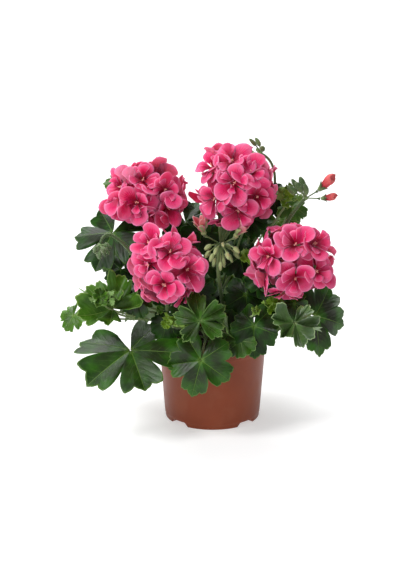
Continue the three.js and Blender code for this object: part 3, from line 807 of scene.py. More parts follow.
# %% [markdown]
# Florets, buds and folded leaves spread from one point like the seeds of a sunflower. Each
# turns from the last by the golden angle, which never comes round to the same place, so any
# number of them is spread evenly and no two lie in a line.

# %% Ways that spread evenly
GOLDEN_TURN = math.pi * (3 - math.sqrt(5))
SPIRAL_START = (0.3, 0.9, 0.2)  # any direction that nothing faces


def spiral_ways(facing, count, seed, spread):
    """As many directions as asked, out to an angle of spread from the facing one."""
    out, forward_axis, across_axis = directions(facing, SPIRAL_START)
    index = np.arange(count)
    up = 1 - (index + 0.5) / count * (1 - math.cos(spread))
    flat = np.sqrt(1 - up**2)
    turn = index * GOLDEN_TURN + seed
    ways = out * up[:, None] + across_axis * (flat * np.cos(turn))[:, None]
    return ways + forward_axis * (flat * np.sin(turn))[:, None]


print("golden turn:", round(math.degrees(GOLDEN_TURN), 1), "degrees")

# %% [markdown]
# ## Leaves
#
# The blade is a fan of lobes round the point where the stalk meets it, with a slit between the
# two last lobes. Each lobe ends in rounded teeth, and its main vein lies in a shallow valley.
# The blade is dished or humped as a whole, and its margin waves a little, each leaf in its own
# way.
#
# A drawn outline that is filled and bent would work, but its faces would not follow the veins.
# So the blade is a grid in rays and rings: rays run from the stalk to the margin, and all the
# bends are plain sums of waves over those rays.
#
# A kind says how many lobes a leaf has, how deep and how narrow the notches between them are,
# and how far round the stalk the fan spans. Then come its bends: the dish, the pleat of each
# lobe, how far its front and back hang, and the wave of its margin. Last come its teeth.

# %% Kinds of leaf
LEAF_KINDS = {  # lobes, notch, power, span, dish, pleat, bend, hang, wave, teeth, fine teeth
    "ivy": (5, 0.46, 3.4, 5.7, -0.1, 0.12, 0.25, 0.1, 0.06, 0.11, 0.02),
    "broad": (5, 0.28, 3.4, 5.95, -0.12, 0.12, 0.3, 0.15, 0.08, 0.1, 0.02),
    "wide": (5, 0.48, 6.5, 5.7, -0.06, 0.12, 0.1, 0.05, 0.04, 0.1, 0.01),
    "round": (5, 0.15, 3, 6.1, -0.1, 0.1, 0.3, 0.5, 0.09, 0.08, 0.015),
    "curly": (5, 0.3, 4, 5.8, 0.35, 0.36, -0.1, 0, 0.16, 0.13, 0.03),
    "frilled": (5, 0.5, 4, 5.8, -0.05, 0.2, 0.25, 0.2, 0.17, 0.17, 0.05),
    "crumpled": (5, 0.3, 3, 5.2, 0.5, 0.6, 0.5, 0.2, 0.2, 0.14, 0.04),
}
print("kinds of leaf:", *LEAF_KINDS)

# %% [markdown]
# No two lobes are alike. From one half lobe to the next, the length, the depth of the notch and
# the fold go up and down by chance. A leaf that is seen well has a plan instead, so that its
# long lobes and its folds come where they are on the real one.

# %% Lobes by plan or by chance
FOLD = 0.11  # how unevenly the veins and the notches between lobes lie, high or low
LENGTHS_BY_CHANCE = (0.9, 1.08)
DEPTHS_BY_CHANCE = (0.6, 1.35)
LOBE_PLANS = {  # by half lobes: lengths, depths of notches, folds
    "low_left": (
        (1.02, 1.12, 1.1, 1.1, 1.0, 0.9, 0.95, 1.0, 1.0, 0.95, 0.95),
        (1.0, 1.0, 1.0, 1.0, 0.9, 1.0, 0.9, 1.0, 1.0, 1.0, 1.0),
        (0.02, 0.08, 0.02, -0.06, -0.04, -0.08, 0.0, 0.06, 0.02, 0.14, 0.04),
    ),
    "front_young": (
        (0.95, 1.0, 1.05, 1.02, 1.0, 1.06, 1.0, 0.92, 0.95, 1.0, 0.95),
        (1.0, 1.0, 1.35, 1.0, 1.45, 1.0, 1.3, 1.0, 1.5, 1.0, 1.0),
        (0.1, -0.16, 0.14, -0.06, 0.16, -0.14, 0.1, -0.18, 0.16, -0.04, 0.12),
    ),
}


def half_lobes(lobes, draw, plan):
    """The length, the depth of notch and the fold of each half lobe."""
    generator = np.random.default_rng(int(draw * 1000))
    count = 2 * lobes + 1
    lengths = generator.uniform(*LENGTHS_BY_CHANCE, count)
    depths = generator.uniform(*DEPTHS_BY_CHANCE, count)
    folds = generator.normal(0, FOLD, count)
    return LOBE_PLANS.get(plan, (lengths, depths, folds))


print("planned leaves:", *LOBE_PLANS)

# %% [markdown]
# A blade is made in three moves. The margin's reach comes first: a lobe's length, less its
# notches and its teeth. Then every point gets its height over the flat leaf. Last, the flat fan
# is laid into the leaf's own three axes.

# %% One blade
RAYS_PER_LOBE = 36
RINGS = 24
BLADE_THICKNESS = 0.7
RING_CROWDING = 0.85  # below 1, the rings lie closer together towards the margin
BACK_LOBES = 0.06  # how much shorter each lobe is than the one before it
RIB_DIPS = -0.4  # a pleat lowers the ribs and lifts the notches
NOTCH_LIFTS = 0.6


def tooth_share(across, tooth, fine_tooth):
    """How far the margin reaches out, at most 1, with three rounded teeth to a lobe."""
    toothed = 1.5 * np.abs(across)
    pointed = 2 * np.abs(toothed - np.floor(toothed + 0.5))
    teeth = 1 - tooth * (0.5 * pointed + 0.5 * (1 - np.abs(np.cos(1.5 * math.pi * across))))
    return teeth - fine_tooth * (1 - np.abs(np.cos(4.5 * math.pi * across)))


def blade(hub, radius, facing, pointing, kind, draw, paint=0, plan=None):
    """The blade of a leaf. draw is this leaf's own random number, from 0 to 1."""
    lobes, notch, power, span, dish, pleat, bend, hang, wave, tooth, fine_tooth = LEAF_KINDS[kind]
    out, forward_axis, across_axis = directions(facing, pointing)
    lengths, depths, folds = half_lobes(lobes, draw, plan)
    nodes = np.linspace(-lobes / 2, lobes / 2, 2 * lobes + 1)
    turn = np.linspace(-lobes / 2, lobes / 2, lobes * RAYS_PER_LOBE + 1)[None, :]
    lobe = np.clip(np.round(turn), -(lobes // 2), lobes // 2)
    across = 2 * (turn - lobe)
    share = 0.02 + 0.98 * np.linspace(0, 1, RINGS)[:, None] ** RING_CROWDING
    angle = turn * span / lobes
    phase = draw * 40

    uneven = 1 + 0.03 * np.sin(2.3 * angle + phase) + 0.025 * np.sin(5.1 * angle - phase)
    uneven = uneven * np.interp(turn, nodes, lengths)
    cut = 1 - notch * np.abs(across) ** power * np.interp(turn, nodes, depths)
    teeth = tooth_share(across, tooth, fine_tooth)
    reach = share * radius * (1 - BACK_LOBES * np.abs(turn)) * cut * teeth * uneven
    ahead = reach * np.cos(angle)
    aside = -reach * np.sin(angle)

    pleats = pleat * np.where(np.arange(2 * lobes + 1) % 2, RIB_DIPS, NOTCH_LIFTS)
    tipped = np.interp(turn, nodes, np.array(folds) + pleats)
    height = dish * reach**2 / radius + reach * tipped
    height = height - np.where(ahead > 0, bend, hang) * ahead**2 / radius
    ripple = np.sin(4.2 * angle + phase) + 0.6 * np.sin(9.3 * angle - 2 * phase)
    height = height + wave * radius * share**3 * ripple
    quilt = np.sin(share * 26 - np.abs(across) * 9 + phase) * np.abs(across) * share
    height = height + 0.002 * radius * quilt

    points = hub + aside[..., None] * across_axis + ahead[..., None] * forward_axis
    points = points + height[..., None] * out
    place = np.stack(np.broadcast_arrays(np.abs(across), share, draw), -1)
    thickness = BLADE_THICKNESS * (1.1 - 0.55 * share**3)
    return sheet(points, thickness + 0 * turn, place, paint)


print("leaf grid:", RINGS, "rings of", 5 * RAYS_PER_LOBE + 1, "rays")

# %% [markdown]
# A leaf's stalk springs from the stem, rises, and comes to the blade from below, where the veins
# meet. It is thickest at its two ends. Two terms that die away quickly give both swellings.

# %% The stalk of a leaf
STALK_STEPS = 22
STALK_SIDES = 10
STALK_DIP = 0.3  # how long the last bend of a stalk is, as a share of its length


def leaf_stalk(stem, share, hub, radius, facing, pointing, draw, paint, dip):
    """The stalk, from the stem's skin to the underside of the blade."""
    out, forward_axis, _ = directions(facing, pointing)
    start, rising, distance = springing(stem, share, hub, 0.3, 0.35)
    seat = np.asarray(hub) + forward_axis * radius * 0.04
    path = curve([start, rising, seat - out * dip * distance, seat - out * 0.3], STALK_STEPS)
    along = np.linspace(0, 1, STALK_STEPS + 1)
    radii = 1.3 - 0.3 * along + 0.5 * np.exp(-along * 14) + 0.4 * np.exp((along - 1) * 16)
    return bar(path, radii, STALK_SIDES, draw, paint=paint)


print("a stalk's faces:", STALK_STEPS * STALK_SIDES + 2 * STALK_SIDES)

# %% [markdown]
# ## Down
#
# Stalks, buds and young stems are covered in short hairs. Blender's hair system would give
# them, but it does not survive an export, so each hair is a thin pyramid of its own, about a
# millimetre long. They are too fine to see one by one, and give each stalk its soft edge.

# %% Hairs on a bar
HAIR_WIDTH = 0.07  # from a hair's middle to the corners of its foot
HAIR_LEAN = 0.35  # how unevenly the hairs lean along the stalk
HAIR_FACES = ((0, 1, 3), (1, 2, 3), (2, 0, 3), (2, 1, 0))


def down(path, radii, count, length, seed, paint=0):
    """Short hairs that stand on a bar's skin. They are one shape."""
    generator = np.random.default_rng(seed)
    path = np.asarray(path, float)
    radii = np.broadcast_to(radii, len(path))
    ahead = unit(np.gradient(path, axis=0))
    spot = generator.uniform(0.02, 0.98, count) * (len(path) - 1)
    below = spot.astype(int)
    part = (spot - below)[:, None]
    foot = path[below] * (1 - part) + path[below + 1] * part
    radius = radii[below] * (1 - part[:, 0]) + radii[below + 1] * part[:, 0]
    tangent = ahead[below]
    aside = generator.normal(size=(count, 3))
    aside = unit(aside - tangent * (aside * tangent).sum(1, keepdims=True))
    third = np.cross(tangent, aside)
    foot = foot + aside * radius[:, None] * 0.9
    lean = unit(aside + tangent * generator.normal(0, HAIR_LEAN, (count, 1)))
    tall = length * generator.uniform(0.6, 1.2, (count, 1))
    corners = [
        foot + HAIR_WIDTH * (tangent * math.cos(a) + third * math.sin(a))
        for a in (0, math.tau / 3, 2 * math.tau / 3)
    ]
    points = np.stack([*corners, foot + lean * (tall + 0.1 * radius[:, None])], 1)
    base = np.arange(count)[:, None] * 4
    faces = np.concatenate([base + np.array(face) for face in HAIR_FACES])
    return Shape(points, [faces], (0.0, 0.9, HAIR_MARK), 0.0, paint)


print("a hair's foot reaches", HAIR_WIDTH, "mm to each side")

# %% [markdown]
# ## Petals and florets
#
# Each petal starts as a narrow claw, widens to a round end, rises out of its floret and bends
# back at its tip. A petal could be a picture on a flat card. From the side that would show at
# once, so each is a real sheet with a thickness.
#
# The outline is that of a circle seen from a point outside it, the claw's foot: every ray from
# there meets the far side of the circle once. Waves, a skew and a tilt are drawn by chance.

# %% One petal
PETAL_RINGS = 13
PETAL_RAYS = 11
PETAL_THICKNESS = 0.55
PETAL_SKEW = 0.05  # how unevenly petals turn aside towards their ends
PETAL_TILT = 0.26  # how unevenly one edge is higher than the other
CLAW_FAN = 0.55  # how much of its fan a petal has at its foot
FAN_GAIN = 0.45  # and how much more towards its end
PETAL_ROUND = 0.39  # the radius of a petal's round part, as a share of its length
PETAL_MIDDLE = 1 - PETAL_ROUND  # where the middle of that round part lies
PETAL_FAN = 0.69  # radians to each side: the whole of the round part


def petal(root, axes, turn, length, fan, lift, droop, cup, draw, generator, paint=0):
    """A petal from a root point; turn is its direction round the floret's axis.

    lift raises it out of the floret, droop bends its end back, and cup turns its sides up.
    """
    out, forward_axis, across_axis = axes
    share = np.linspace(0, 1, PETAL_RINGS)[:, None]
    across = np.linspace(-1, 1, PETAL_RAYS)[None, :]
    skew = generator.normal(0, PETAL_SKEW)
    phase, _, frill = generator.uniform(0, 6, 3)
    tilt = generator.normal(0, PETAL_TILT)

    beside = PETAL_MIDDLE * np.sin(across * fan)
    far_side = np.sqrt(np.maximum(0, PETAL_ROUND**2 - beside**2))
    edge = PETAL_MIDDLE * np.cos(across * fan) + far_side + 0.02 * np.sin(4.3 * across + phase)
    reach = share * length * edge
    angle = across * fan * (CLAW_FAN + FAN_GAIN * share) + skew * share
    along = reach * np.cos(angle)
    aside = reach * np.sin(angle)

    height = length * (lift * along / length - droop * (along / length) ** 2)
    height = height + cup * aside**2 / length
    height = height + 0.03 * length * share**2 * np.sin(3.1 * across + 4 * share + phase)
    height = height + 0.02 * length * share**4 * np.sin(8 * across + frill)
    height = height + tilt * aside

    heading = forward_axis * math.cos(turn) + across_axis * math.sin(turn)
    sideways = forward_axis * math.sin(turn) - across_axis * math.cos(turn)
    flat = 1 - 0.2 * min(lift, 1.2)
    points = root + (0.5 + along * flat)[..., None] * heading + aside[..., None] * sideways
    points = points + height[..., None] * out
    place = np.stack(np.broadcast_arrays(across, share, draw), -1)
    thickness = PETAL_THICKNESS * (1.1 - 0.6 * share**2) * (1 - 0.3 * across**2)
    return sheet(points, thickness, place, paint)


print("petal grid:", PETAL_RINGS, "by", PETAL_RAYS)

# %% [markdown]
# A floret is a shallow bowl of five broad petals, with a few slimmer and steeper ones inside, as
# in a half-double flower. Some florets have opened further than others, so they share one number
# for that. Behind the petals a short throat joins them, and six stamens stand in the middle.

# %% One floret
OUTER_PETALS = 5
STEEPEST_OUTER = 0.86  # of all the outer petals' lifts
STEEPEST_INNER = 1.1
FLATTEST_DROOP = 0.12
INNER_DROOP = 0.45
INNER_STEP = 2.3  # radians from one inner petal to the next
STAMENS = 6
THROAT_RADII = (3.0, 2.2, 0.6)
STAMEN_RADII = (0.3, 0.25, 0.2, 0.45, 0.4)  # a thread that ends in a small knob
FLORET_START = (0.31, 0.17, 0.93)  # any direction that no floret faces


def outer_petals(root, axes, roll, size, generator):
    """Broad petals, every other one a little higher, so that they can overlap."""
    openness = generator.uniform(-0.14, 0.2)
    petals = []
    for index in range(OUTER_PETALS):
        turn = roll + index * math.tau / OUTER_PETALS + generator.normal(0, 0.13)
        length = size * generator.uniform(0.86, 1.1)
        lift = min(generator.normal(0.56, 0.17) + openness, STEEPEST_OUTER)
        droop = max(generator.normal(0.38, 0.17), FLATTEST_DROOP)
        cup = generator.normal(0.1, 0.3)
        draw = generator.uniform(0, 1)
        base = root + axes[0] * (0.35 * (index % 2))
        petals.append(petal(base, axes, turn, length, PETAL_FAN, lift, droop, cup, draw, generator))
    return petals


def inner_petals(root, axes, roll, size, generator):
    """Slim petals in a spiral, each a little higher than the last."""
    petals = []
    for index in range(generator.integers(4, 8)):
        turn = roll + 0.6 + index * INNER_STEP + generator.normal(0, 0.3)
        length = size * generator.uniform(0.5, 0.88)
        lift = min(generator.normal(0.9, 0.25), STEEPEST_INNER)
        base = root + axes[0] * (0.7 + 0.25 * index)
        draw = generator.uniform(0, 1)
        cup = generator.normal(0.15, 0.5)
        fan = PETAL_FAN * generator.uniform(0.42, 0.82)
        petals.append(petal(base, axes, turn, length, fan, lift, INNER_DROOP, cup, draw, generator))
    return petals


def stamen(root, axes, generator):
    """A thread with a knob, leaning a little out of the floret's middle."""
    turn = generator.uniform(0, math.tau)
    lean = generator.uniform(0.1, 0.35)
    heading = axes[1] * math.cos(turn) + axes[2] * math.sin(turn)
    tip = root + (axes[0] + heading * lean) * generator.uniform(5.5, 8)
    path = curve([root + axes[0] * 0.5, root + axes[0] * 3, tip], 4)
    return bar(path, STAMEN_RADII, 5, 0.5, paint=1)


def floret(root, way, size, seed):
    """Petals, throat and stamens of one open floret."""
    generator = np.random.default_rng(seed)
    axes = directions(way, FLORET_START)
    roll = generator.uniform(0, math.tau)
    shapes = outer_petals(root, axes, roll, size, generator)
    shapes += inner_petals(root, axes, roll, size, generator)
    throat_path = [root - axes[0] * 2.2, root + axes[0] * 0.4, root + axes[0] * 1.2]
    throat = bar(throat_path, THROAT_RADII, 8)
    throat.place = throat.place * (1, 0.1, 1)  # all of it has the colour of a petal's foot
    shapes.append(throat)
    return shapes + [stamen(root, axes, generator) for _ in range(STAMENS)]


print("shapes in a floret:", len(floret(np.zeros(3), UP, 25.0, 1)))

# %% [markdown]
# ## The pot
#
# A twelve-centimetre nursery pot is thin moulded plastic with a plain band round its rim. Its
# wall is a turned shape, so a profile is spun round the axis. The profile has extra points
# beside each corner, close together, so that every edge is a small round that catches light.

# %% Pot
POT_TURNS = 144
POT_OUTSIDE = [  # radius and height, from the middle of the underside to the top of the rim
    (0, 0), (30, 0), (51.5, 0), (52.1, 0.2), (52.3, 0.8), (52.3, 3.9), (52.45, 4.4), (52.9, 4.8),
    (53.2, 8), (54.6, 26), (56.6, 53), (58.5, 77.5), (58.8, 80.6), (59.2, 81.25), (60.0, 81.5),
    (60.3, 81.8), (60.4, 82.6), (60.6, 93.6), (60.45, 94.6), (60.0, 95),
]
POT_INSIDE = [  # from the top of the rim down to the middle of the floor inside
    (59.5, 95), (59.25, 94.8), (59.1, 94.2), (58.9, 83), (57.4, 79), (55.1, 50), (51.6, 8),
    (50.6, 6.9), (49.5, 6.6), (30, 6.6), (0, 6.6),
]


def turned(profile, turns):
    """A profile of (radius, height) spun round the upright axis."""
    profile = np.array(profile, float)
    angle = np.arange(turns) / turns * math.tau
    radius, height = profile[:, :1], profile[:, 1:]
    ring = [radius * np.cos(angle), radius * np.sin(angle), height + 0 * angle]
    return np.stack(ring, -1)


def pot_shape():
    """The turned wall and base as one closed skin, with single points on the axis."""
    rings = turned((POT_OUTSIDE + POT_INSIDE)[1:-1], POT_TURNS)
    rows = len(rings)
    count = rows * POT_TURNS
    points = np.concatenate([rings.reshape(-1, 3), [(0, 0, 0), (0, 0, POT_INSIDE[-1][1])]])
    turn = np.arange(POT_TURNS)
    following = (turn + 1) % POT_TURNS
    last = count - POT_TURNS
    under = np.stack([np.full(POT_TURNS, count), following, turn], 1)
    over = np.stack([np.full(POT_TURNS, count + 1), last + turn, last + following], 1)
    walls = grid_faces(rows, POT_TURNS, wrapped=True)[:, ::-1]
    return Shape(points, [walls, under, over], (0.0, 0.5, 0.5))


print("pot profile:", len(POT_OUTSIDE) + len(POT_INSIDE), "points")

# %% [markdown]
# Four low channels cross the underside and end in notches of the foot, so that water can leave
# when the pot stands on a flat floor. Each has a drain hole. A turned profile can't hold them,
# so they are cut out of it with a boolean, as the raised ribs of the mould would leave them.

# %% Channels under the pot
CHANNELS = 4
CHANNEL_INNER = 17  # from the axis to a channel's inner end
CHANNEL_OUTER = 58
CHANNEL_HALF_FOOT = 12.5  # half of its width at the floor
CHANNEL_HALF_TOP = 8
CHANNEL_HEIGHT = 5
HOLE_AT = 34  # from the axis
HOLE_RADIUS = 3.6
HOLE_DEPTH = 12


def channel(turn):
    """A long block with sloping sides, which is cut out of the pot's foot."""
    section = [
        (-CHANNEL_HALF_FOOT, -1),
        (CHANNEL_HALF_FOOT, -1),
        (CHANNEL_HALF_FOOT, 0),
        (CHANNEL_HALF_TOP, CHANNEL_HEIGHT),
        (-CHANNEL_HALF_TOP, CHANNEL_HEIGHT),
        (-CHANNEL_HALF_FOOT, 0),
    ]
    ahead = np.array((math.cos(turn), math.sin(turn), 0))
    aside = np.array((-math.sin(turn), math.cos(turn), 0))
    ends = (CHANNEL_INNER, CHANNEL_OUTER)
    points = [ahead * end + aside * y + UP * z for end in ends for y, z in section]
    corners = np.arange(6)
    following = (corners + 1) % 6
    sides = np.stack([corners, following, following + 6, corners + 6], 1)
    caps = np.stack([corners[::-1], corners + 6])
    return Shape(points, [sides, caps], (0.0, 0.5, 0.5))


def hole(turn):
    """A round rod that is cut out for a drain hole."""
    middle = np.array((math.cos(turn), math.sin(turn), 0)) * HOLE_AT
    return bar([middle, middle + UP * HOLE_DEPTH], HOLE_RADIUS, 32)


def loose(name, shapes):
    """A plain mesh object that is only used to cut."""
    points = np.concatenate([shape.points for shape in shapes]) * MM
    faces = []
    start = 0
    for shape in shapes:
        faces += [[int(corner) + start for corner in face] for block in shape.faces for face in block]
        start += len(shape.points)
    mesh = bpy.data.meshes.new(name)
    mesh.from_pydata(points.tolist(), [], faces)
    made = bpy.data.objects.new(name, mesh)
    scene.collection.objects.link(made)
    return made


def cut(target, cutter):
    """The target's mesh with the cutter's room taken out. The cutter is thrown away."""
    boolean = target.modifiers.new("cut", "BOOLEAN")
    boolean.operation = "DIFFERENCE"
    boolean.solver = "EXACT"
    boolean.object = cutter
    graph = bpy.context.evaluated_depsgraph_get()
    result = bpy.data.meshes.new_from_object(target.evaluated_get(graph))
    target.modifiers.clear()
    target.data = result
    bpy.data.objects.remove(cutter)


plastic_left = (CHANNEL_INNER - CHANNEL_HALF_FOOT) * math.sqrt(2)
print("plastic between two channels:", round(plastic_left, 1), "mm")

# %% [markdown]
# ## Pot plastic
#
# Injection-moulded plastic has a satin gloss and a very fine dimpled skin from the mould. Its
# brown-red is even, with faint marks where water and soil have dried on it. The dried film is
# paler and rougher, so one patchy noise drives both colour and roughness.

# %% Pot plastic
PLASTIC = mixed(124, 55, 28)
PLASTIC_PALER = mixed(133, 60, 31)
DRIED_FILM = mixed(170, 120, 98)


def pot_skin():
    """Brown-red plastic with a faint dried film on it."""

    def film(tree):
        return rise(tree, mottle(tree, 38, 6), 0.5, 0.72)

    def colour(tree):
        base = tint(tree, rise(tree, mottle(tree, 14), 0.35, 0.65), PLASTIC, PLASTIC_PALER)
        return tint(tree, reckon(tree, "MULTIPLY", film(tree), 0.1), base, DRIED_FILM)

    def roughness(tree):
        return reckon(tree, "ADD", 0.4, reckon(tree, "MULTIPLY", film(tree), 0.18))

    def normal(tree):
        fine = reckon(tree, "MULTIPLY", mottle(tree, 2600), 0.25)
        return relief(tree, reckon(tree, "ADD", fine, mottle(tree, 60)), 0.0002)

    return finish("pot_plastic", colour, roughness, normal, Specular_IOR_Level=0.25)


pot = piece("nursery_pot", [pot_shape()], [pot_skin()], "pot_plastic", "pot")
channel_turns = [(index + 0.5) * math.tau / CHANNELS for index in range(CHANNELS)]
cut(pot, loose("channels", [channel(turn) for turn in channel_turns]))
cut(pot, loose("holes", [hole(turn) for turn in channel_turns]))
print("pot faces:", len(pot.data.polygons))

# %% [markdown]
# ## Soil
#
# Potting soil is a dark, crumbly mix of peat and bark. A mound whose height is a sum of three
# noises, coarse to fine, gives its lie. A displace modifier would do the same, but here loose
# crumbs have to lie on the mound, so its height is a function that they can ask.

# %% The mound of soil
SOIL_RINGS = 40
SOIL_TURNS = 96
SOIL_RADIUS = 58.6
SOIL_CROWN = 2.2  # how much higher the middle lies than the edge
SOIL_SPREAD = 57  # from the middle to where the crown has gone
SOIL_DEPTH = 14
SOIL_NOISES = ((2.6, 0.06, 3.0), (1.5, 0.22, 7.0), (0.9, 0.6, 1.0))  # height, fineness, and layer


def soil_height(x, y):
    """The soil's height at a point of the pot."""
    spread = math.hypot(x, y) / SOIL_SPREAD
    height = SOIL_TOP + SOIL_CROWN * (1 - spread**2)
    for strength, fineness, layer in SOIL_NOISES:
        height += strength * noise.noise((x * fineness, y * fineness, layer))
    return height


def soil_mound():
    """The mound, closed by a wall and a floor that nobody sees."""
    share = np.linspace(0, 1, SOIL_RINGS)[1:, None]
    angle = np.arange(SOIL_TURNS) / SOIL_TURNS * math.tau
    x = SOIL_RADIUS * share * np.cos(angle)
    y = SOIL_RADIUS * share * np.sin(angle)
    z = np.vectorize(soil_height)(x, y)
    rings = np.stack([x, y, z], -1)
    wall = rings[-1:] * (0.97, 0.97, 0) + (0, 0, SOIL_TOP - SOIL_DEPTH)
    rows = np.concatenate([rings, wall])
    count = rows.shape[0] * SOIL_TURNS
    middles = [(0, 0, soil_height(0, 0)), (0, 0, SOIL_TOP - SOIL_DEPTH)]
    points = np.concatenate([rows.reshape(-1, 3), middles])
    turn = np.arange(SOIL_TURNS)
    following = (turn + 1) % SOIL_TURNS
    last = count - SOIL_TURNS
    over = np.stack([np.full(SOIL_TURNS, count), turn, following], 1)
    under = np.stack([np.full(SOIL_TURNS, count + 1), last + following, last + turn], 1)
    walls = grid_faces(len(rows), SOIL_TURNS, wrapped=True)
    return Shape(points, [walls, over, under], (0.0, 0.5, 0.5))


print("soil in the middle:", round(soil_height(0, 0), 1), "mm")

# %% [markdown]
# Several hundred loose crumbs of all sizes give the broken edge that the eye knows. Each crumb
# is a small ball that is stretched, dented by a wave and turned at random. None may reach the
# pot's wall, so those that would are pulled back towards the middle.

# %% Crumbs of soil
CRUMBS = 520
CRUMB_SIZES = (0.8, 1.2, 1.8, 2.6)
CRUMB_SHARES = (0.35, 0.35, 0.2, 0.1)  # how many crumbs have each size
CRUMB_LIMIT = 58.2  # a little inside the pot's wall
BALL_STEPS = 2


def ball():
    """Points and faces of a small ball, for crumbs and hubs."""
    made = bmesh.new()
    bmesh.ops.create_icosphere(made, subdivisions=BALL_STEPS, radius=1)
    points = np.array([corner.co[:] for corner in made.verts])
    faces = np.array([[corner.index for corner in face.verts] for face in made.faces])
    made.free()
    return points, faces


def soil_crumbs(count, seed):
    """Loose crumbs, strewn evenly over the mound."""
    generator = np.random.default_rng(seed)
    points, faces = ball()
    crumbs = []
    for _ in range(count):
        turn = generator.uniform(0, math.tau)
        out = SOIL_SPREAD * math.sqrt(generator.uniform(0, 1))
        size = generator.choice(CRUMB_SIZES, p=CRUMB_SHARES)
        size = size * generator.uniform(0.8, 1.2)
        x = out * math.cos(turn)
        y = out * math.sin(turn)
        limit = CRUMB_LIMIT - size
        if out > limit:
            x = x * limit / out
            y = y * limit / out
        stretch = generator.uniform((0.7, 0.6, 0.5), (1.3, 1.0, 0.9))
        spin = np.linalg.qr(generator.normal(size=(3, 3)))[0]
        spin = spin * np.sign(np.linalg.det(spin))  # a mirrored crumb would be inside out
        rough = 1 + 0.25 * np.sin(points @ generator.normal(0, 4, 3) + 2)[:, None]
        place = np.array((x, y, soil_height(x, y) + size * 0.25))
        lump = (points * rough * stretch * size) @ spin
        crumbs.append(Shape(lump + place, [faces], (0.0, 0.5, generator.uniform(0, 1))))
    return crumbs


print("points in a crumb:", len(ball()[0]))

# %% [markdown]
# Wet peat is almost black and bark is brown, so two colours are mixed by a fine noise. A crumb
# that lies loose dries first: those with a high random number are painted paler.

# %% Soil in the pot
PEAT = mixed(28, 19, 13)
BARK = mixed(62, 44, 30)
DRY_CRUMB = mixed(104, 78, 52)


def soil_skin():
    """Dark, rough soil with paler dry crumbs."""

    def colour(tree):
        _, _, draw = place_of(tree)
        base = tint(tree, rise(tree, mottle(tree, 220, 5), 0.35, 0.7), PEAT, BARK)
        dry = reckon(tree, "MULTIPLY", rise(tree, draw, 0.7, 1.0), 0.5)
        return tint(tree, dry, base, DRY_CRUMB)

    def roughness(tree):
        return reckon(tree, "ADD", 0.8, reckon(tree, "MULTIPLY", mottle(tree, 300), 0.15))

    def normal(tree):
        return relief(tree, mottle(tree, 700, 6), 0.0012)

    return finish("potting_soil", colour, roughness, normal, Specular_IOR_Level=0.25)


soil_shapes = [soil_mound(), *soil_crumbs(CRUMBS, 4)]
soil = piece("soil_and_crumbs", soil_shapes, [soil_skin()], "potting_soil", "soil")
print("soil faces:", len(soil.data.polygons))

# %% [markdown]
# ## Shoots
#
# The plant's stems are green and a little woody at the foot, with a swelling at each joint where
# a leaf grows or once grew. At its tip each has three folded leaves no bigger than a pea. The
# swellings come from the bar's radii: a high power of a wave is near nothing all along, and one
# at each joint.

# %% Shoots
BURIED = 20  # how deep a stem goes on in the soil
JOINT_EVERY = 17  # between two joints
JOINT_SWELLING = 0.7
STEM_SHRINK = 0.15  # off the radius all along, because the joints swell past it
STEM_HAIRS = 240
TIP_LEAVES = 3


def shoot(stem, seed):
    """A stem with its down and the folded leaves at its tip."""
    corners = stem_bend(stem)
    foot = corners[0]
    path = np.concatenate([[foot - UP * BURIED, foot - UP * 8], curve(corners, 46)])
    length = np.concatenate([[0], np.cumsum(np.linalg.norm(np.diff(path, axis=0), axis=1))])
    share = np.clip((length - BURIED) / (length[-1] - BURIED), 0, 1)
    joint = np.abs((length / JOINT_EVERY) % 1 - 0.5) * 2
    radii = STEM_FOOT + (STEM_TIP - STEM_FOOT) * share + JOINT_SWELLING * joint**10 - STEM_SHRINK
    shapes = [bar(path, radii, 16, 0.5), down(path[3:], radii[3:], STEM_HAIRS, 1.1, seed, 1)]
    generator = np.random.default_rng(seed)
    heading = unit(path[-1] - path[-3])
    for index in range(TIP_LEAVES):
        aside = unit(np.cross(heading, generator.normal(size=3)))
        hub = path[-1] + heading * (0.5 + index) + aside * 1.5
        facing = unit(aside * 0.8 + heading * 0.3)
        shapes.append(blade(hub, 5.5 - index, facing, heading, "curly", generator.uniform(0, 1), 2))
    return shapes


shoot_paints = [stem_paint, stalk_paint, young_paint]
for order, stem in enumerate(STEMS):
    piece(f"shoot_{stem}", shoot(stem, 40 + order), shoot_paints, "stem_skin", f"stem_{stem}")
print("shoots:", len(STEMS))

# %% [markdown]
# ## The leaves in their places
#
# Each row gives the stem that carries a leaf and how far up it, then the point where stalk and
# blade meet, the blade's radius, the way that its face looks, the way that its middle lobe
# points, and its kind.

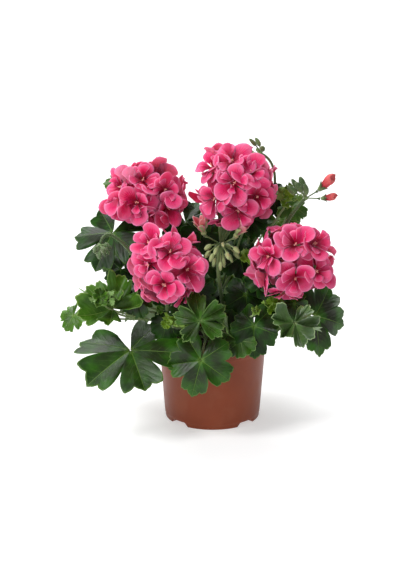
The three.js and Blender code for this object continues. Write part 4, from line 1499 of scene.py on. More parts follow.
# %% Where the leaves are
LEAVES = {  # stem, share, hub, radius, facing, pointing, kind
    "low_left": ("left_front", 0.6, (-89, -56, 94), 64, (-0.08, -0.32, 0.94), (0.25, -0.8, -0.3), "wide"),
    "left_upper": ("left_back", 0.55, (-109, 2, 210), 46, (-0.2, -0.5, 0.85), (-0.4, -0.7, -0.4), "wide"),
    "left_mid": ("left_front", 0.7, (-108, -47, 139), 40, (-0.15, -0.52, 0.84), (-0.6, 0.1, 0.8), "curly"),
    "left_tip": ("left_front", 0.85, (-152, -20, 122), 20, (-0.35, -0.6, 0.72), (-0.5, -0.5, -0.7), "broad"),
    "left_shade": ("left_front", 0.99, (-83, -38, 147), 21, (-0.1, -0.8, 0.6), (0.3, -0.6, -0.7), "broad"),
    "pot_front": ("front", 0.75, (-13, -88, 94), 41, (0.02, -0.94, 0.34), (-0.25, -0.3, -1), "broad"),
    "front_young": ("front", 0.95, (-14, -96, 141), 33, (0.02, -0.92, 0.38), (-0.15, 0.3, 1), "frilled"),
    "rim_right": ("right_front", 0.3, (44, -68, 126), 32, (-0.2, -0.85, 0.48), (-0.05, -0.5, -0.9), "round"),
    "right_young": (
        "right_front", 0.88, (86, -96, 139), 31, (0.15, -0.66, 0.74), (0.3, -0.4, -0.9), "crumpled",
    ),
    "right_far": ("right_front", 0.8, (111, -38, 127), 44, (0.3, -0.85, 0.45), (1, -0.1, -0.12), "broad"),
    "right_inner": ("right_front", 0.99, (88, -50, 145), 19, (-0.1, -0.8, 0.6), (-0.4, -0.3, 0.8), "broad"),
    "left_top": ("left_back", 0.98, (-104, 52, 255), 20, (-0.3, -0.7, 0.6), (-0.5, 0.2, 0.9), "broad"),
    "left_hidden": ("left_back", 0.42, (-101, 6, 167), 24, (-0.3, -0.7, 0.6), (-0.9, -0.3, -0.1), "ivy"),
    "gap_left": ("left_back", 0.9, (-30, 30, 214), 34.5, (0, -0.75, 0.65), (0.3, -0.6, -0.5), "broad"),
    "gap_right": ("right_back", 0.7, (73, 41, 212), 32, (0.1, -0.7, 0.7), (0.5, -0.6, -0.3), "broad"),
    "right_top": ("right_back", 0.7, (87, 20, 234), 20, (0.2, -0.7, 0.7), (0.8, -0.2, -0.1), "broad"),
    "centre_high": ("back", 0.6, (19, 45, 184), 32, (0.1, -0.8, 0.6), (0.1, 0.3, 0.9), "broad"),
    "centre_dark": ("centre", 0.95, (36, -14, 144), 29, (0.15, -0.85, 0.45), (0.2, -0.4, -0.9), "round"),
    "centre_left": ("front", 0.98, (-22, -30, 150), 30, (-0.1, -0.85, 0.5), (-0.2, 0.4, 0.9), "broad"),
    "back_top": ("back", 0.98, (-14, 94, 192), 40, (0, 0.6, 0.8), (0.1, 0.8, -0.5), "broad"),
    "back_left": ("left_back", 0.75, (-100, 66, 176), 42, (-0.5, 0.6, 0.65), (-0.7, 0.5, -0.4), "ivy"),
    "back_low_left": ("back", 0.35, (-66, 84, 112), 46, (-0.35, 0.7, 0.6), (-0.4, 0.5, -0.8), "broad"),
    "back_middle": ("back", 0.6, (4, 100, 140), 44, (0, 0.75, 0.66), (0.1, 0.6, -0.8), "round"),
    "back_low_right": ("right_back", 0.3, (66, 82, 114), 44, (0.4, 0.7, 0.6), (0.4, 0.5, -0.8), "broad"),
    "back_right": ("right_back", 0.5, (106, 52, 164), 42, (0.6, 0.45, 0.66), (0.8, 0.3, -0.4), "ivy"),
}
print("places for leaves:", len(LEAVES))

# %% [markdown]
# A leaf is dressed as blade, stalk and down. Where a stalk leaves a stem, a pair of small
# pointed stipules sits, and they are tiny curled blades. The leaf's own random number comes from
# its place in the list: steps of the golden section never repeat.

# %% Leaves in their places
# Leaves in the shade of others wear the near black copy of the skin, which is painted shade.
SHADED_LEAVES = (
    "left_upper", "gap_left", "centre_high", "centre_dark", "centre_left", "rim_right", "left_hidden",
)
YOUNG_LEAVES = {
    "left_mid": young_paint,
    "left_tip": young_paint,
    "left_top": young_paint,
    "right_top": young_paint,
    "gap_right": young_paint,
    "front_young": half_grown_paint,
    "right_young": glossy_paint,
}
SHORT_DIPS = {"left_tip": 0.12}  # for a leaf whose stalk comes to it almost straight
GOLDEN_SECTION = 0.618
STIPULE_RADIUS = 4.5
LEAF_HAIRS = 170


def leaf_finish(name):
    """The finish of a leaf, and the slot that it belongs to."""
    if name in YOUNG_LEAVES:
        return YOUNG_LEAVES[name], "young_leaf"
    if name in SHADED_LEAVES:
        return shaded_old_paint, "leaf_blade"
    return leaf_paint, "leaf_blade"


def whole_leaf(row, draw, seed, dip=STALK_DIP, plan=None):
    """A blade on its stalk, with down on the stalk and stipules at its foot."""
    stem, share, hub, radius, facing, pointing, kind = row
    hub = np.array(hub, float)
    stalk = leaf_stalk(stem, share, hub, radius, facing, pointing, draw, 1, dip)
    path = stalk.points[:-2].reshape(STALK_STEPS + 1, STALK_SIDES, 3).mean(1)
    green = blade(hub, radius, facing, pointing, kind, draw, 0, plan)
    shapes = [green, stalk, down(path, 1.1, LEAF_HAIRS, 0.9, seed, 1)]
    _, heading = bend_at(stem_bend(stem), share)
    leaving = path[3] - path[0]
    for side in (1, -1):
        aside = unit(np.cross(heading, leaving)) * side
        foot = path[0] + aside * 1.2
        upwards = heading + aside * 0.4
        shapes.append(blade(foot, STIPULE_RADIUS, unit(leaving + aside), upwards, "curly", draw, 1))
    return shapes


for order, (name, row) in enumerate(LEAVES.items()):
    paint, slot = leaf_finish(name)
    draw = (order * GOLDEN_SECTION + 0.2) % 1
    shapes = whole_leaf(row, draw, 100 + order, SHORT_DIPS.get(name, STALK_DIP), name)
    piece(f"grown_leaf_{name}", shapes, [paint, stalk_paint], slot, f"leaf_{name}")
print("leaves:", len(LEAVES))

# %% [markdown]
# A grown plant keeps more leaves inside than it shows. They are older and half hidden, and
# without them the eye looks straight through the plant. Their near black skin is partly the
# darker green of older leaves and partly painted shade, and by_rim and by_rim_left are dark
# leaves put where only deep shade shows. They have no solids of their own, because they lie
# between the leaves that have. The one at the rim is half grown, and stands in for a pale lobe
# that rolls out from under a dark leaf.

# %% Inner leaves
INNER_LEAVES = {  # stem, share, hub, radius, facing, pointing, kind
    "rim_fold": ("front", 0.8, (30, -72, 110), 21, (-0.3, -0.8, 0.5), (-0.8, -0.2, -0.4), "round"),
    "core_left": ("back", 0.45, (-12, 20, 172), 30, (-0.1, -0.9, 0.4), (-0.2, -0.5, -0.9), "broad"),
    "core_right": ("back", 0.5, (30, 16, 178), 27, (0.15, -0.9, 0.4), (0.3, -0.5, -0.9), "round"),
    "core_high": ("back", 0.8, (-12, 24, 204), 27, (0, -0.85, 0.5), (-0.2, -0.6, -0.8), "broad"),
    "core_low": ("centre", 0.5, (-2, 4, 132), 24, (0, -0.9, 0.4), (0.2, -0.5, -0.9), "round"),
    "core_hang": ("right_back", 0.6, (42, 16, 222), 24, (0.1, -0.9, 0.4), (0.1, -0.4, -0.9), "ivy"),
    "under_right": ("right_front", 0.6, (56, -14, 164), 25, (0.1, -0.9, 0.4), (0.1, -0.4, -0.9), "broad"),
    "under_left": ("left_front", 0.5, (-50, -6, 152), 27, (-0.1, -0.9, 0.4), (-0.3, -0.5, -0.8), "broad"),
    "under_head": ("left_front", 0.75, (-78, 0, 176), 24, (-0.2, -0.8, 0.5), (-0.5, -0.5, -0.6), "broad"),
    "under_young": ("front", 0.6, (-32, -48, 128), 22, (-0.1, -0.9, 0.4), (-0.2, -0.5, -0.9), "round"),
    "between_heads": ("left_back", 0.8, (-44, 26, 236), 24, (0, -0.8, 0.6), (0.2, -0.7, -0.6), "ivy"),
    "beside_head": ("right_back", 0.85, (66, 28, 244), 22, (0.2, -0.8, 0.6), (0.3, -0.6, -0.7), "ivy"),
    "low_right": ("right_front", 0.5, (74, -20, 150), 25, (0.2, -0.9, 0.4), (0.4, -0.5, -0.8), "broad"),
    # by_rim and by_rim_left stand where only deep shade shows: they are dark leaves of painted shade.
    "by_rim": ("centre", 0.3, (14, -38, 118), 22, (0, -0.9, 0.4), (0.3, -0.4, -0.9), "round"),
    "by_rim_left": ("left_front", 0.3, (-50, -42, 120), 21, (-0.1, -0.9, 0.4), (-0.3, -0.4, -0.9), "round"),
    "side_right": ("right_back", 0.4, (88, 14, 158), 30, (0.8, -0.1, 0.6), (0.5, 0.1, -0.8), "broad"),
    "side_low_right": ("right_back", 0.25, (72, 16, 122), 26, (0.85, -0.2, 0.5), (0.4, 0.2, -0.9), "round"),
    "side_left": ("left_back", 0.4, (-92, 26, 134), 28, (-0.8, 0.1, 0.6), (-0.5, 0.2, -0.8), "broad"),
    "back_high": ("back", 0.9, (30, 62, 222), 30, (0.1, 0.7, 0.7), (0.2, 0.7, -0.6), "broad"),
    "back_side": ("right_back", 0.7, (60, 70, 196), 28, (0.4, 0.7, 0.6), (0.4, 0.6, -0.7), "ivy"),
    "back_core": ("back", 0.5, (-34, 66, 172), 30, (-0.2, 0.8, 0.5), (-0.2, 0.5, -0.8), "broad"),
}

for order, (name, row) in enumerate(INNER_LEAVES.items()):
    draw = (order * GOLDEN_SECTION + 0.55) % 1
    # All inner leaves but rim_fold wear the near black skin: painted shade.
    paint = half_grown_paint if name == "rim_fold" else shaded_old_paint
    piece(f"inner_leaf_{name}", whole_leaf(row, draw, 300 + order), [paint, stalk_paint], "leaf_blade")
print("inner leaves:", len(INNER_LEAVES))

# %% [markdown]
# Side shoots break from the stems between the leaves. Each is a tuft of six small, bright, still
# folded leaves, spread by the golden angle. They catch the light in the dark of the plant, and
# the largest stands out beside the young leaf at the left. One single folded leaf stands by the
# rim on a stalk of its own.

# %% Side shoots
SIDE_SHOOTS = {  # stem, share, where the tuft sits, its size
    "left": ("left_front", 0.7, (-116, -54, 145), 17),
    "tip": ("left_front", 0.75, (-121, -40, 128), 8),
    "rim": ("right_front", 0.4, (46, -68, 141), 6),
    "middle": ("left_front", 0.45, (-44, -62, 124), 12),
    "low": ("front", 0.5, (-28, -62, 120), 9),
    "right": ("right_front", 0.8, (66, -50, 136), 12),
    "top": ("right_back", 0.6, (43, 0, 178), 11),
    "rear": ("back", 0.4, (14, 64, 128), 12),
    "high_right": ("right_back", 0.95, (81, 12, 241), 15),
}
FOLDED_LEAF = ("front", 0.9, (16, -52, 112), 24, (-0.85, -0.3, 0.1), (0.1, 0.1, 1), "curly")
TUFT_LEAVES = 6
TUFT_SPREAD = 1.3  # radians from the middle of a tuft
TUFT_HAIRS = 90


def tuft(row, seed):
    """A short stalk with folded leaves on threads at its end."""
    stem, share, place, size = row
    place = np.array(place, float)
    generator = np.random.default_rng(seed)
    start, rising, distance = springing(stem, share, place, 0.3, 0.2)
    path = curve([start, rising + UP * 0.1 * distance, place - UP * 0.08 * distance, place], 16)
    shapes = [bar(path, np.linspace(1.2, 0.9, 17), 8, paint=1)]
    shapes.append(down(path, 1.0, TUFT_HAIRS, 0.9, seed, 1))
    for way in spiral_ways((0, -0.3, 1), TUFT_LEAVES, seed, TUFT_SPREAD):
        foot = place + way * 1.5
        tip = place + way * size * generator.uniform(0.5, 0.9)
        facing = unit(np.cross(way, generator.normal(size=3)) + UP * 0.6 + (0, -0.5, 0))
        shapes.append(bar(curve([foot - way * 1.5, (foot + tip) / 2, tip], 6), 0.5, 6, paint=1))
        width = size * generator.uniform(0.4, 0.8)
        shapes.append(blade(tip, width, facing, way, "curly", generator.uniform(0, 1)))
    return shapes


for order, (name, row) in enumerate(SIDE_SHOOTS.items()):
    paint = young_paint if name == "left" else lime_paint
    piece(f"side_shoot_{name}", tuft(row, 500 + order), [paint, stalk_paint], "young_leaf")
piece("folded_young_leaf", whole_leaf(FOLDED_LEAF, 0.3, 520), [young_paint, stalk_paint], "young_leaf")
print("side shoots:", len(SIDE_SHOOTS))

# %% [markdown]
# ## Heads of flowers
#
# A head is an umbel: its florets all spring from one point at the top of a stalk, each on its
# own thread-like stalk, and spread into a flattened ball. Florets in front are placed one by
# one, from where they are seen to sit, right and up from the head's middle. The others follow
# the golden angle, and one that would crowd a placed floret is left out.

# %% Where the florets of a head sit
VIEW_UP = np.array((0, math.sin(CAMERA_TILT), math.cos(CAMERA_TILT)))
VIEW_BACK = np.array((0, -math.cos(CAMERA_TILT), math.sin(CAMERA_TILT)))
THROAT_DEPTH = 0.72  # how far out of the head's middle a floret's throat lies
SEEN_DEPTH = 0.78  # the same for those in front
SEEN_TURN = 0.75  # how much those in front turn to the front
NEAREST_DEPTH = 6  # a throat in front lies at least so far before the middle
HEADS = {  # stem, share, middle, radii, facing, hub, seed
    "left": ("left_back", 0.85, (-74, 12, 250), (43, 38, 30), (-0.1, -0.4, 0.9), (-66, 10, 216), 3),
    "centre": ("centre", 0.99, (24, 0, 261), (45, 38, 45), (0, -0.7, 0.7), (9, 0, 197), 8),
    "low": ("left_front", 0.9, (-48, -58, 188), (37, 35, 42), (-0.1, -0.7, 0.7), (-50, -40, 150), 5),
    "right": ("right_front", 0.9, (84, -46, 191), (45, 39, 45), (0.1, -0.7, 0.7), (80, -26, 153), 13),
}
SEEN_THROATS = {  # right and up from the head's middle
    "left": ((-24, 8), (-2, 13), (21, 4), (-6, -9), (24, -14), (-25, -13)),
    "centre": ((-21, -12), (-24, 21), (-1, 3), (3, -24), (16, 16), (23, -9), (-3, 26)),
    "low": ((-16, 23), (-20, 4), (3, 16), (-2, -17), (19, -2)),
    "right": ((-21, 5), (21, 18), (2, 16), (3, -17), (23, -10)),
}
SPREAD = 2.3  # radians from the way that a head faces to its last floret
SPIRAL_FLORETS = 19  # before those that would crowd a placed one are left out
REAR_DIP = 0.16  # florets that look to the side or away sit a little deeper
ELBOW_ROOM = 0.7  # radians between two florets


def on_ball(way, depth, radii):
    """The point that lies a share of the way out to the skin of a flattened ball."""
    return way * depth / np.linalg.norm(way / np.array(radii, float))


def seen_throat(offset, radii):
    """A throat that is seen right and up of the head's middle, and the way that its floret looks.

    The line of sight through it meets the flattened ball where a quadratic equation says.
    """
    radii = np.array(radii, float)
    flat = np.array((1.0, 0, 0)) * offset[0] + VIEW_UP * offset[1]
    a = ((VIEW_BACK / radii) ** 2).sum()
    b = 2 * (VIEW_BACK * flat / radii**2).sum()
    c = ((flat / radii) ** 2).sum() - SEEN_DEPTH**2
    depth = (-b + math.sqrt(max(0, b * b - 4 * a * c))) / (2 * a)
    root = flat + VIEW_BACK * max(depth, NEAREST_DEPTH)
    return root, unit(unit(root / radii) + VIEW_BACK * SEEN_TURN)


def florets_of(name):
    """Each floret's throat, from the head's middle, and the way that it looks."""
    _, _, _, radii, facing, _, seed = HEADS[name]
    placed = [seen_throat(offset, radii) for offset in SEEN_THROATS[name]]
    for way in spiral_ways(facing, SPIRAL_FLORETS, seed, SPREAD):
        if all(math.acos(np.clip(way @ unit(root), -1, 1)) > ELBOW_ROOM for root, _ in placed):
            depth = THROAT_DEPTH * (1 - REAR_DIP * max(0, 0.3 - way @ VIEW_BACK))
            placed.append((on_ball(way, depth, radii), way))
    return placed


print("florets:", {name: len(florets_of(name)) for name in HEADS})

# %% [markdown]
# A ball of florets alone looks clipped like a hedge. On a real head a few long petals stand out
# of it, so each of those is laid between two points, told as they are seen from the front.

# %% Stray petals
STRAY_PETALS = {  # foot and tip, each right, up and near of the head's middle, and its facing
    "left": (
        ((-20, 10, 30), (-26, 31, 32), (0.2, 0.9, -0.3)),
        ((-14, 8, 34), (-14, 29, 38), (-0.3, 0.8, -0.4)),
        ((-26, -2, 28), (-38, -24, 30), (-0.5, -0.6, 0.5)),
        ((-16, -4, 32), (-25, -29, 34), (0.4, -0.8, 0.3)),
    ),
    "centre": (
        ((-12, 28, 8), (-33, 44, 8), (0.5, 0.2, 0.8)),
        ((-4, 26, 16), (-24, 40, 16), (-0.2, -0.7, 0.6)),
    ),
    "low": (
        ((20, 0, 28), (44, 1, 26), (0.1, -0.9, 0.4)),
        ((18, -8, 28), (40, -20, 24), (0.3, -0.9, 0.1)),
        ((4, 22, 26), (6, 44, 20), (0.8, -0.5, 0.2)),
    ),
    "right": (
        ((24, -14, 26), (48, -24, 20), (0.5, -0.4, 0.7)),
        ((-26, 10, 24), (-46, 8, 26), (-0.2, -0.9, 0.3)),
    ),
}


def seen_point(middle, right_up_near):
    """A point told from a head's middle: to the right, up and near, as seen from the front."""
    right, up, near = right_up_near
    return np.array(middle, float) + np.array((right, 0, 0)) + VIEW_UP * up + VIEW_BACK * near


def stray_petals(name, generator):
    """Long flat petals that stand out of a head's ball."""
    middle = HEADS[name][2]
    fan = PETAL_FAN * 0.8
    petals = []
    for start, end, facing in STRAY_PETALS[name]:
        root = seen_point(middle, start)
        tip = seen_point(middle, end)
        length = np.linalg.norm(tip - root)
        axes = directions(facing, tip - root)
        draw = generator.uniform(0, 0.6)
        petals.append(petal(root, axes, 0, length, fan, 0.15, 0.12, 0.3, draw, generator))
    return petals


print("stray petals:", sum(len(rows) for rows in STRAY_PETALS.values()))

# %% [markdown]
# Seen from the side and from behind, a head shows its green parts too. Five narrow sepals hold
# each floret, and small scales, the bracts, sit where all the thread-like stalks meet. Both are
# small thin sheets, so the petal's own function makes them.

# %% Sepals and bracts
SEPALS = 5
BRACTS = 6


def calyx(root, way, generator):
    """Narrow sepals that hold the petals from behind."""
    axes = directions(way, FLORET_START)
    turns = generator.uniform(0, math.tau) + np.arange(SEPALS) * math.tau / SEPALS
    return [petal(root, axes, turn, 7.0, 0.3, 0.55, 0.3, 0.4, 0.5, generator) for turn in turns]


def bracts(hub, way, generator):
    """Small scales round the point where the thread-like stalks meet."""
    axes = directions(way, FLORET_START)
    turns = generator.uniform(0, math.tau) + np.arange(BRACTS) * math.tau / BRACTS
    return [petal(hub - way, axes, turn, 6.0, 0.4, 0.2, 0.6, 0.4, 0.5, generator) for turn in turns]


print("sepals and bracts:", SEPALS, BRACTS)

# %% [markdown]
# A head is put together from its stalk, its florets on their threads, and ten smaller florets
# deep inside. Those are hardly seen, but without them one looks through the head to its far
# side. Petals and green parts become two objects, because they are two finishes on the plant.

# %% Florets and their stalks
FLORET_SIZE = 25.6  # an outer petal's length, before chance
HIDDEN_FLORETS = 10  # deep in the head, behind the others
HIDDEN_DEPTH = 0.4
HIDDEN_SIZE = 0.72
THREAD_RADIUS = 0.75
THREAD_END = (1.0, 1.4, 1.7)  # a thread widens where it meets its floret
HUB_RADIUS = 3.0
STALK_HAIRS = 420


def head_stalk_path(name):
    """The path of a head's stalk, from its stem to the hub of the head."""
    stem, share, middle, _, _, hub, _ = HEADS[name]
    hub = np.array(hub, float)
    start, rising, distance = springing(stem, share, hub, 0.08, 0.4)
    arriving = unit(np.array(middle, float) - hub)
    return curve([start, rising, hub - arriving * 0.3 * distance, hub], 30)


def head(name):
    """The petals of a head, made as a piece of their own, and the shapes of its green parts."""
    _, _, middle, radii, facing, hub, seed = HEADS[name]
    hub = np.array(hub, float)
    middle = np.array(middle, float)
    generator = np.random.default_rng(seed)
    path = head_stalk_path(name)
    greens = [bar(path, np.linspace(2.3, 1.95, 31), 12), down(path, 1.9, STALK_HAIRS, 1.3, seed + 1)]
    petals = []
    for index, (root, way) in enumerate(florets_of(name)):
        root = middle + root * generator.uniform(0.92, 1.04)
        tilt = unit(way + generator.normal(0, 0.15, 3))
        petals += floret(root, tilt, FLORET_SIZE * generator.uniform(0.92, 1.06), seed * 100 + index)
        rise_from_hub = hub + (root - hub) * 0.45 + unit(root - hub) * 4
        thread = curve([hub, rise_from_hub, root - tilt * 14, root - tilt * 2.6], 14)
        greens.append(bar(thread, np.append(np.full(12, THREAD_RADIUS), THREAD_END), 7))
        greens += calyx(root - tilt * 3.4, tilt, generator)
    for index, way in enumerate(spiral_ways(facing, HIDDEN_FLORETS, seed + 1.3, SPREAD)):
        root = middle + on_ball(way, HIDDEN_DEPTH, radii)
        petals += floret(root, way, FLORET_SIZE * HIDDEN_SIZE, seed * 100 + 50 + index)
        thread = curve([hub, (hub + root) / 2, root - way * 8, root], 10)
        greens.append(bar(thread, THREAD_RADIUS, 6))
    points, faces = ball()
    greens.append(Shape(points * HUB_RADIUS + hub, [faces], (0.0, 0.2, 0.5)))
    greens += bracts(hub, unit(middle - hub), generator)
    petals += stray_petals(name, np.random.default_rng(seed + 30))
    piece(f"florets_{name}", petals, [petal_paint, stamen_paint], "petal", f"flowers_{name}")
    return greens


print("points on a head's stalk:", len(head_stalk_path("centre")))

# %% [markdown]
# ## Buds
#
# Unopened buds hang or stand in bunches, each a downy green spindle with five ribs on a thread of
# its own. A bar already makes threads, and its section can be ribbed with one cosine, so thread
# and spindle are one bar whose radii swell at its end.

# %% Buds
BUD_LENGTH = 9.5
BUD_STEPS = 30
BUD_RIBS = 5
RIB_HEIGHT = 0.1  # as a share of the bud's radius
BUD_HAIRS = 90
BUNCH_HUB = 2.4  # the radius of the knob that the threads spring from


def bud_radii(rows, length, stalk_length, stout, stalk):
    """Radii along a bud's path: a thread, and then a spindle that is rounded at its tip."""
    along = np.linspace(0, stalk_length + length, rows)
    inside = np.clip((along - stalk_length) / length, 0, 1)
    spindle = stout * np.sqrt(np.clip(1 - (2 * inside - 0.9) ** 2 / 1.22, 0, 1)) * (1 - 0.25 * inside)
    return np.where(along < stalk_length, stalk, np.maximum(spindle, stalk * 0.5))


def bud(hub, bend, tip, growth, stout, seed, paint=0):
    """One bud on its thread, with down on it."""
    path = curve([hub, bend, tip], BUD_STEPS)
    length = np.linalg.norm(np.diff(path, axis=0), axis=1).sum()
    body = min(BUD_LENGTH * growth, length * 0.5 * growth)
    radii = bud_radii(BUD_STEPS + 1, body, length - body, stout * growth, 0.7)
    spindle = bar(path, radii, 20, 0.5, BUD_RIBS, RIB_HEIGHT, paint)
    first = int((BUD_STEPS + 1) * (1 - body / length))
    return [spindle, down(path[first:], radii[first:], BUD_HAIRS, 1.3, seed, paint)]


def bunch(hub, pointing, length, count, seed, spread=1.9, growth=1.0, paint=0):
    """Buds that spread from one hub, and then bend the way that the bunch points."""
    hub = np.array(hub, float)
    axis = unit(pointing)
    generator = np.random.default_rng(seed)
    points, faces = ball()
    shapes = [Shape(points * BUNCH_HUB + hub, [faces], (0.0, 0.2, 0.5), 0.0, paint)]
    for index, way in enumerate(spiral_ways(pointing, count, seed, spread)):
        reach = length * generator.uniform(0.8, 1.15)
        bend = hub + way * reach / 2
        tip = bend + way * reach / 4 + axis * reach / 3
        shapes += bud(hub, bend, tip, growth, generator.uniform(2.1, 2.9), seed * 50 + index, paint)
    return shapes


print("bud radii:", bud_radii(6, 8, 10, 2.3, 0.7).round(1))

# %% [markdown]
# Three bunches stand or nod on stalks of their own, at the top, at the right and at the left. A
# fourth hangs from the hub of the head in the middle. The last bend of each stalk is aimed, so
# that the bunch at the left really nods. Two pink buds share the right-hand bunch's hub, and two
# share the middle head's, each on a thread.

# %% Bunches of buds on their stalks
UMBELS = {  # stem, share, hub, pointing, length, count, seed, spread, and the way its stalk arrives
    "top": ("back", 0.9, (53, 46, 288), (-0.85, -0.1, 0.4), 19, 8, 4, 1.9, (-0.8, -0.1, 0.35)),
    "right": ("right_back", 0.99, (101, -6, 251), (-0.6, 0, 1), 22, 5, 9, 0.75, (0.8, -0.1, 0.7)),
    "left": ("left_back", 0.48, (-120, -58, 213), (0.1, -0.2, -1), 14, 13, 6, 1.9, (-0.2, -0.2, -1)),
}
HOOK = {"top": 0.3, "right": 0.34, "left": 0.34}  # how long the stalk's last bend is
GROWTH = {"top": 1.1, "right": 1.4, "left": 1.0}  # how far its buds have grown
THICKNESS = {"top": 1.0, "right": 1.3, "left": 1.0}  # of its stalk, beside the others
BUNCH_PAINT = {"top": bud_paint, "right": dark_bud_paint, "left": dark_bud_paint}
CENTRE_BUNCH = ((0, -0.3, -1), 27, 15, 2)  # pointing, length, count, seed
OPENING_BUDS = {  # the bunch or head that carries it, its hub, the bud's foot, and its tip
    "right_high": ("right", (101, -6, 251), (114, -8, 260), (130, -10, 276)),
    "right_low": ("right", (101, -6, 251), (117, -8, 251), (133, -10, 254)),
    "hub_left": ("centre", (9, 0, 197), (-9, -11, 211), (-14, -17, 229)),
    "hub_right": ("centre", (9, 0, 197), (24, -14, 209), (33, -22, 226)),
}


def opening_threads(carrier):
    """The threads of the opening buds that spring from this bunch or head."""
    threads = []
    for owner, *corners in OPENING_BUDS.values():
        if owner == carrier:
            hub, foot, tip = np.array(corners, float)
            way = unit(tip - foot)
            path = curve([hub, (hub + foot) / 2 + way, foot - way * 0.9], 12)
            threads.append(bar(path, np.append(np.full(10, THREAD_RADIUS), (1.1, 1.5, 1.9)), 8))
    return threads


def umbel_stalk(row, hook):
    """The path of a bunch's stalk, from its stem to the hub of the bunch."""
    stem, share, hub, _, _, _, _, _, arriving = row
    hub = np.array(hub, float)
    start, rising, distance = springing(stem, share, hub, 0.35, 0.1)
    return curve([start, rising, hub - unit(arriving) * hook * distance, hub], 40)


for name, row in UMBELS.items():
    path = umbel_stalk(row, HOOK[name])
    thickness = THICKNESS[name]
    shapes = [bar(path, np.linspace(1.7, 1.4, 41) * thickness, 12)]
    shapes.append(down(path, 1.5 * thickness, STALK_HAIRS, 1.3, row[6]))
    shapes += bunch(*row[2:8], GROWTH[name])
    shapes += opening_threads(name)
    piece(f"buds_{name}", shapes, [BUNCH_PAINT[name]], "green_bud", f"bud_umbel_{name}")

head_paints = [stalk_paint, pale_lit_bud_paint]
for name in HEADS:
    shapes = head(name)
    if name == "centre":
        # The bunch under the middle head wears the paler bud skin: painted light against the head's shade.
        shapes += bunch(HEADS[name][5], *CENTRE_BUNCH, paint=1)
        shapes += opening_threads(name)
    piece(f"head_stalk_{name}", shapes, head_paints, "green_stalk", f"flower_stalk_{name}")
print("heads and bunches:", len(HEADS), len(UMBELS))

# %% [markdown]
# ## Buds about to open
#
# The next florets in line show colour already. The two at the right are still furled: cones of
# petals that wind round each other, held by five green sepals. Five separate petals wound so
# tightly would cross, so a furled bud is one turned skin with three twisted steps in it, and one
# corner of its end stands higher.

# %% Furled buds
SEPAL_SHARE = 0.4  # how far up the bud its sepals reach
FURLED_WIDTH = {"right_high": 1.08, "right_low": 1.15}
FURLED_STEPS = 3  # the edges of petals that show round it
FURLED_TWIST = 2.2  # radians from its foot to its tip
FURLED_ROWS = 28
FURLED_SIDES = 48


def furled_radius(share, length, stout):
    """A furled bud widens like a cone from its foot, and ends in a blunt twist."""
    share = np.clip(share, 0, 1)
    return 0.3 * stout * length * (0.14 + 0.86 * share**0.8) * np.sqrt(1.04 - share**6)


def sepal_on(foot, axes, length, stout, turn, draw):
    """A pointed sepal that hugs the bud's side."""
    share = np.linspace(0, 1, 10)[:, None]
    across = np.linspace(-1, 1, 7)[None, :]
    wide = 0.62 * np.sin(math.pi * (0.25 + 0.75 * share)) ** 0.7
    angle = turn + across * wide
    climb = share * SEPAL_SHARE
    radius = furled_radius(climb, length, stout) + 0.35 + 1.2 * share**5 * (1 + draw)
    spoke = np.cos(angle)[..., None] * axes[1] - np.sin(angle)[..., None] * axes[2]
    points = foot + (climb * length)[..., None] * axes[0] + radius[..., None] * spoke
    place = np.stack(np.broadcast_arrays(across, share, draw), -1)
    return sheet(points, 0.5 + 0 * across * share, place, 1)


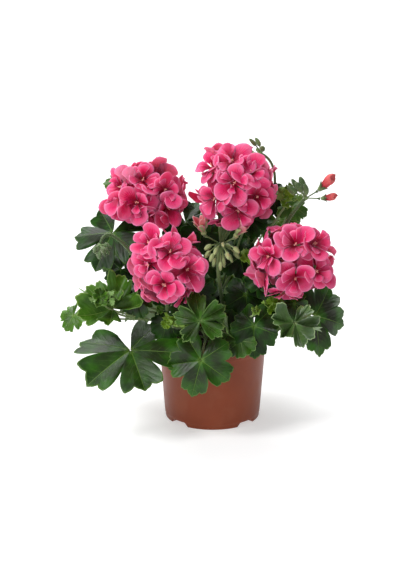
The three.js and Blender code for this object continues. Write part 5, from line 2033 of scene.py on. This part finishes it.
def furled(foot, tip, seed, stout):
    """A furled bud: petals wound round each other, held by five green sepals."""
    foot = np.array(foot, float)
    tip = np.array(tip, float)
    way = unit(tip - foot)
    length = np.linalg.norm(tip - foot)
    axes = directions(way, FLORET_START)
    rows = FURLED_ROWS
    sides = FURLED_SIDES
    share = np.linspace(0, 1, rows)[:, None]
    angle = (np.arange(sides) / sides * math.tau)[None, :]
    step = ((angle + FURLED_TWIST * share) * FURLED_STEPS / math.tau) % 1
    radius = np.maximum(furled_radius(share, length, stout) * (0.84 + 0.2 * step), 0.3)
    spoke = np.cos(angle)[..., None] * axes[1] - np.sin(angle)[..., None] * axes[2]
    climb = share * length + 0.13 * length * share**4 * np.cos(angle + 0.9)  # one corner is higher
    rings = foot + climb[..., None] * way + radius[..., None] * spoke
    points = np.concatenate([rings.reshape(-1, 3), [foot, tip + way * 0.3]])
    last = (rows - 1) * sides
    turn = np.arange(sides)
    following = (turn + 1) % sides
    caps = [
        np.stack([np.full(sides, rows * sides), following, turn], 1),
        np.stack([np.full(sides, rows * sides + 1), last + turn, last + following], 1),
    ]
    place = np.stack(np.broadcast_arrays(step * 2 - 1, 0.4 + 0.6 * share, 0.5 + 0 * step), -1)
    place = np.concatenate([place.reshape(-1, 3), [(0, 0.3, 0.5), (0, 1, 0.5)]])
    walls = grid_faces(rows, sides, wrapped=True)[:, ::-1]
    shapes = [Shape(points, [walls, *caps], place)]
    generator = np.random.default_rng(seed)
    for turn in generator.uniform(0, math.tau) + np.arange(SEPALS) * math.tau / SEPALS:
        shapes.append(sepal_on(foot, axes, length, stout, turn, generator.uniform(0, 1)))
    path = foot + np.linspace(0, SEPAL_SHARE, 12)[:, None] * length * way
    skin = furled_radius(np.linspace(0, SEPAL_SHARE, 12), length, stout) + 0.4
    shapes.append(down(path, skin, 160, 1.2, seed, 1))
    return shapes


print("a furled bud's widest radius:", round(furled_radius(0.9, 18.0, 1.0), 1), "mm")

# %% [markdown]
# The two at the middle head's hub have begun to open. Here the petals do part, so each is a cup
# of nine short, steep petals, pale and salmon pink, on a green cup with five sepals.

# %% Half-open buds
HALF_OPEN_PETALS = 9


def half_open(foot, tip, seed):
    """A cup of short petals over five sepals."""
    foot = np.array(foot, float)
    axes = directions(np.array(tip, float) - foot, FLORET_START)
    generator = np.random.default_rng(seed)
    shapes = []
    for index in range(HALF_OPEN_PETALS):
        turn = index * GOLDEN_TURN
        size = generator.uniform(10, 12.5) - 0.3 * index
        lift = 1.7 + 0.15 * index
        root = foot + axes[0] * (2 + 0.3 * index)
        draw = generator.uniform(0, 1)
        shapes.append(petal(root, axes, turn, size, PETAL_FAN, lift, 0.3, 0.5, draw, generator))
    for turn in generator.uniform(0, math.tau) + np.arange(SEPALS) * math.tau / SEPALS:
        shapes.append(petal(foot, axes, turn, 9.5, 0.32, 2.0, 0.1, 0.6, 0.5, generator, 1))
    cup = bar([foot, foot + axes[0] * 2.5, foot + axes[0] * 6], (1.9, 3.2, 2.6), 12, paint=1)
    return [*shapes, cup]


for order, (name, (_, _, foot, tip)) in enumerate(OPENING_BUDS.items()):
    if name in FURLED_WIDTH:
        shapes = furled(foot, tip, 70 + order, FURLED_WIDTH[name])
        paints = [opening_paint, dark_bud_paint]
    else:
        shapes = half_open(foot, tip, 70 + order)
        paints = [half_open_paint, pale_lit_bud_paint]
    piece(f"furled_bud_{name}", shapes, paints, "pink_bud", f"opening_bud_{name}")
print("opening buds:", len(OPENING_BUDS))
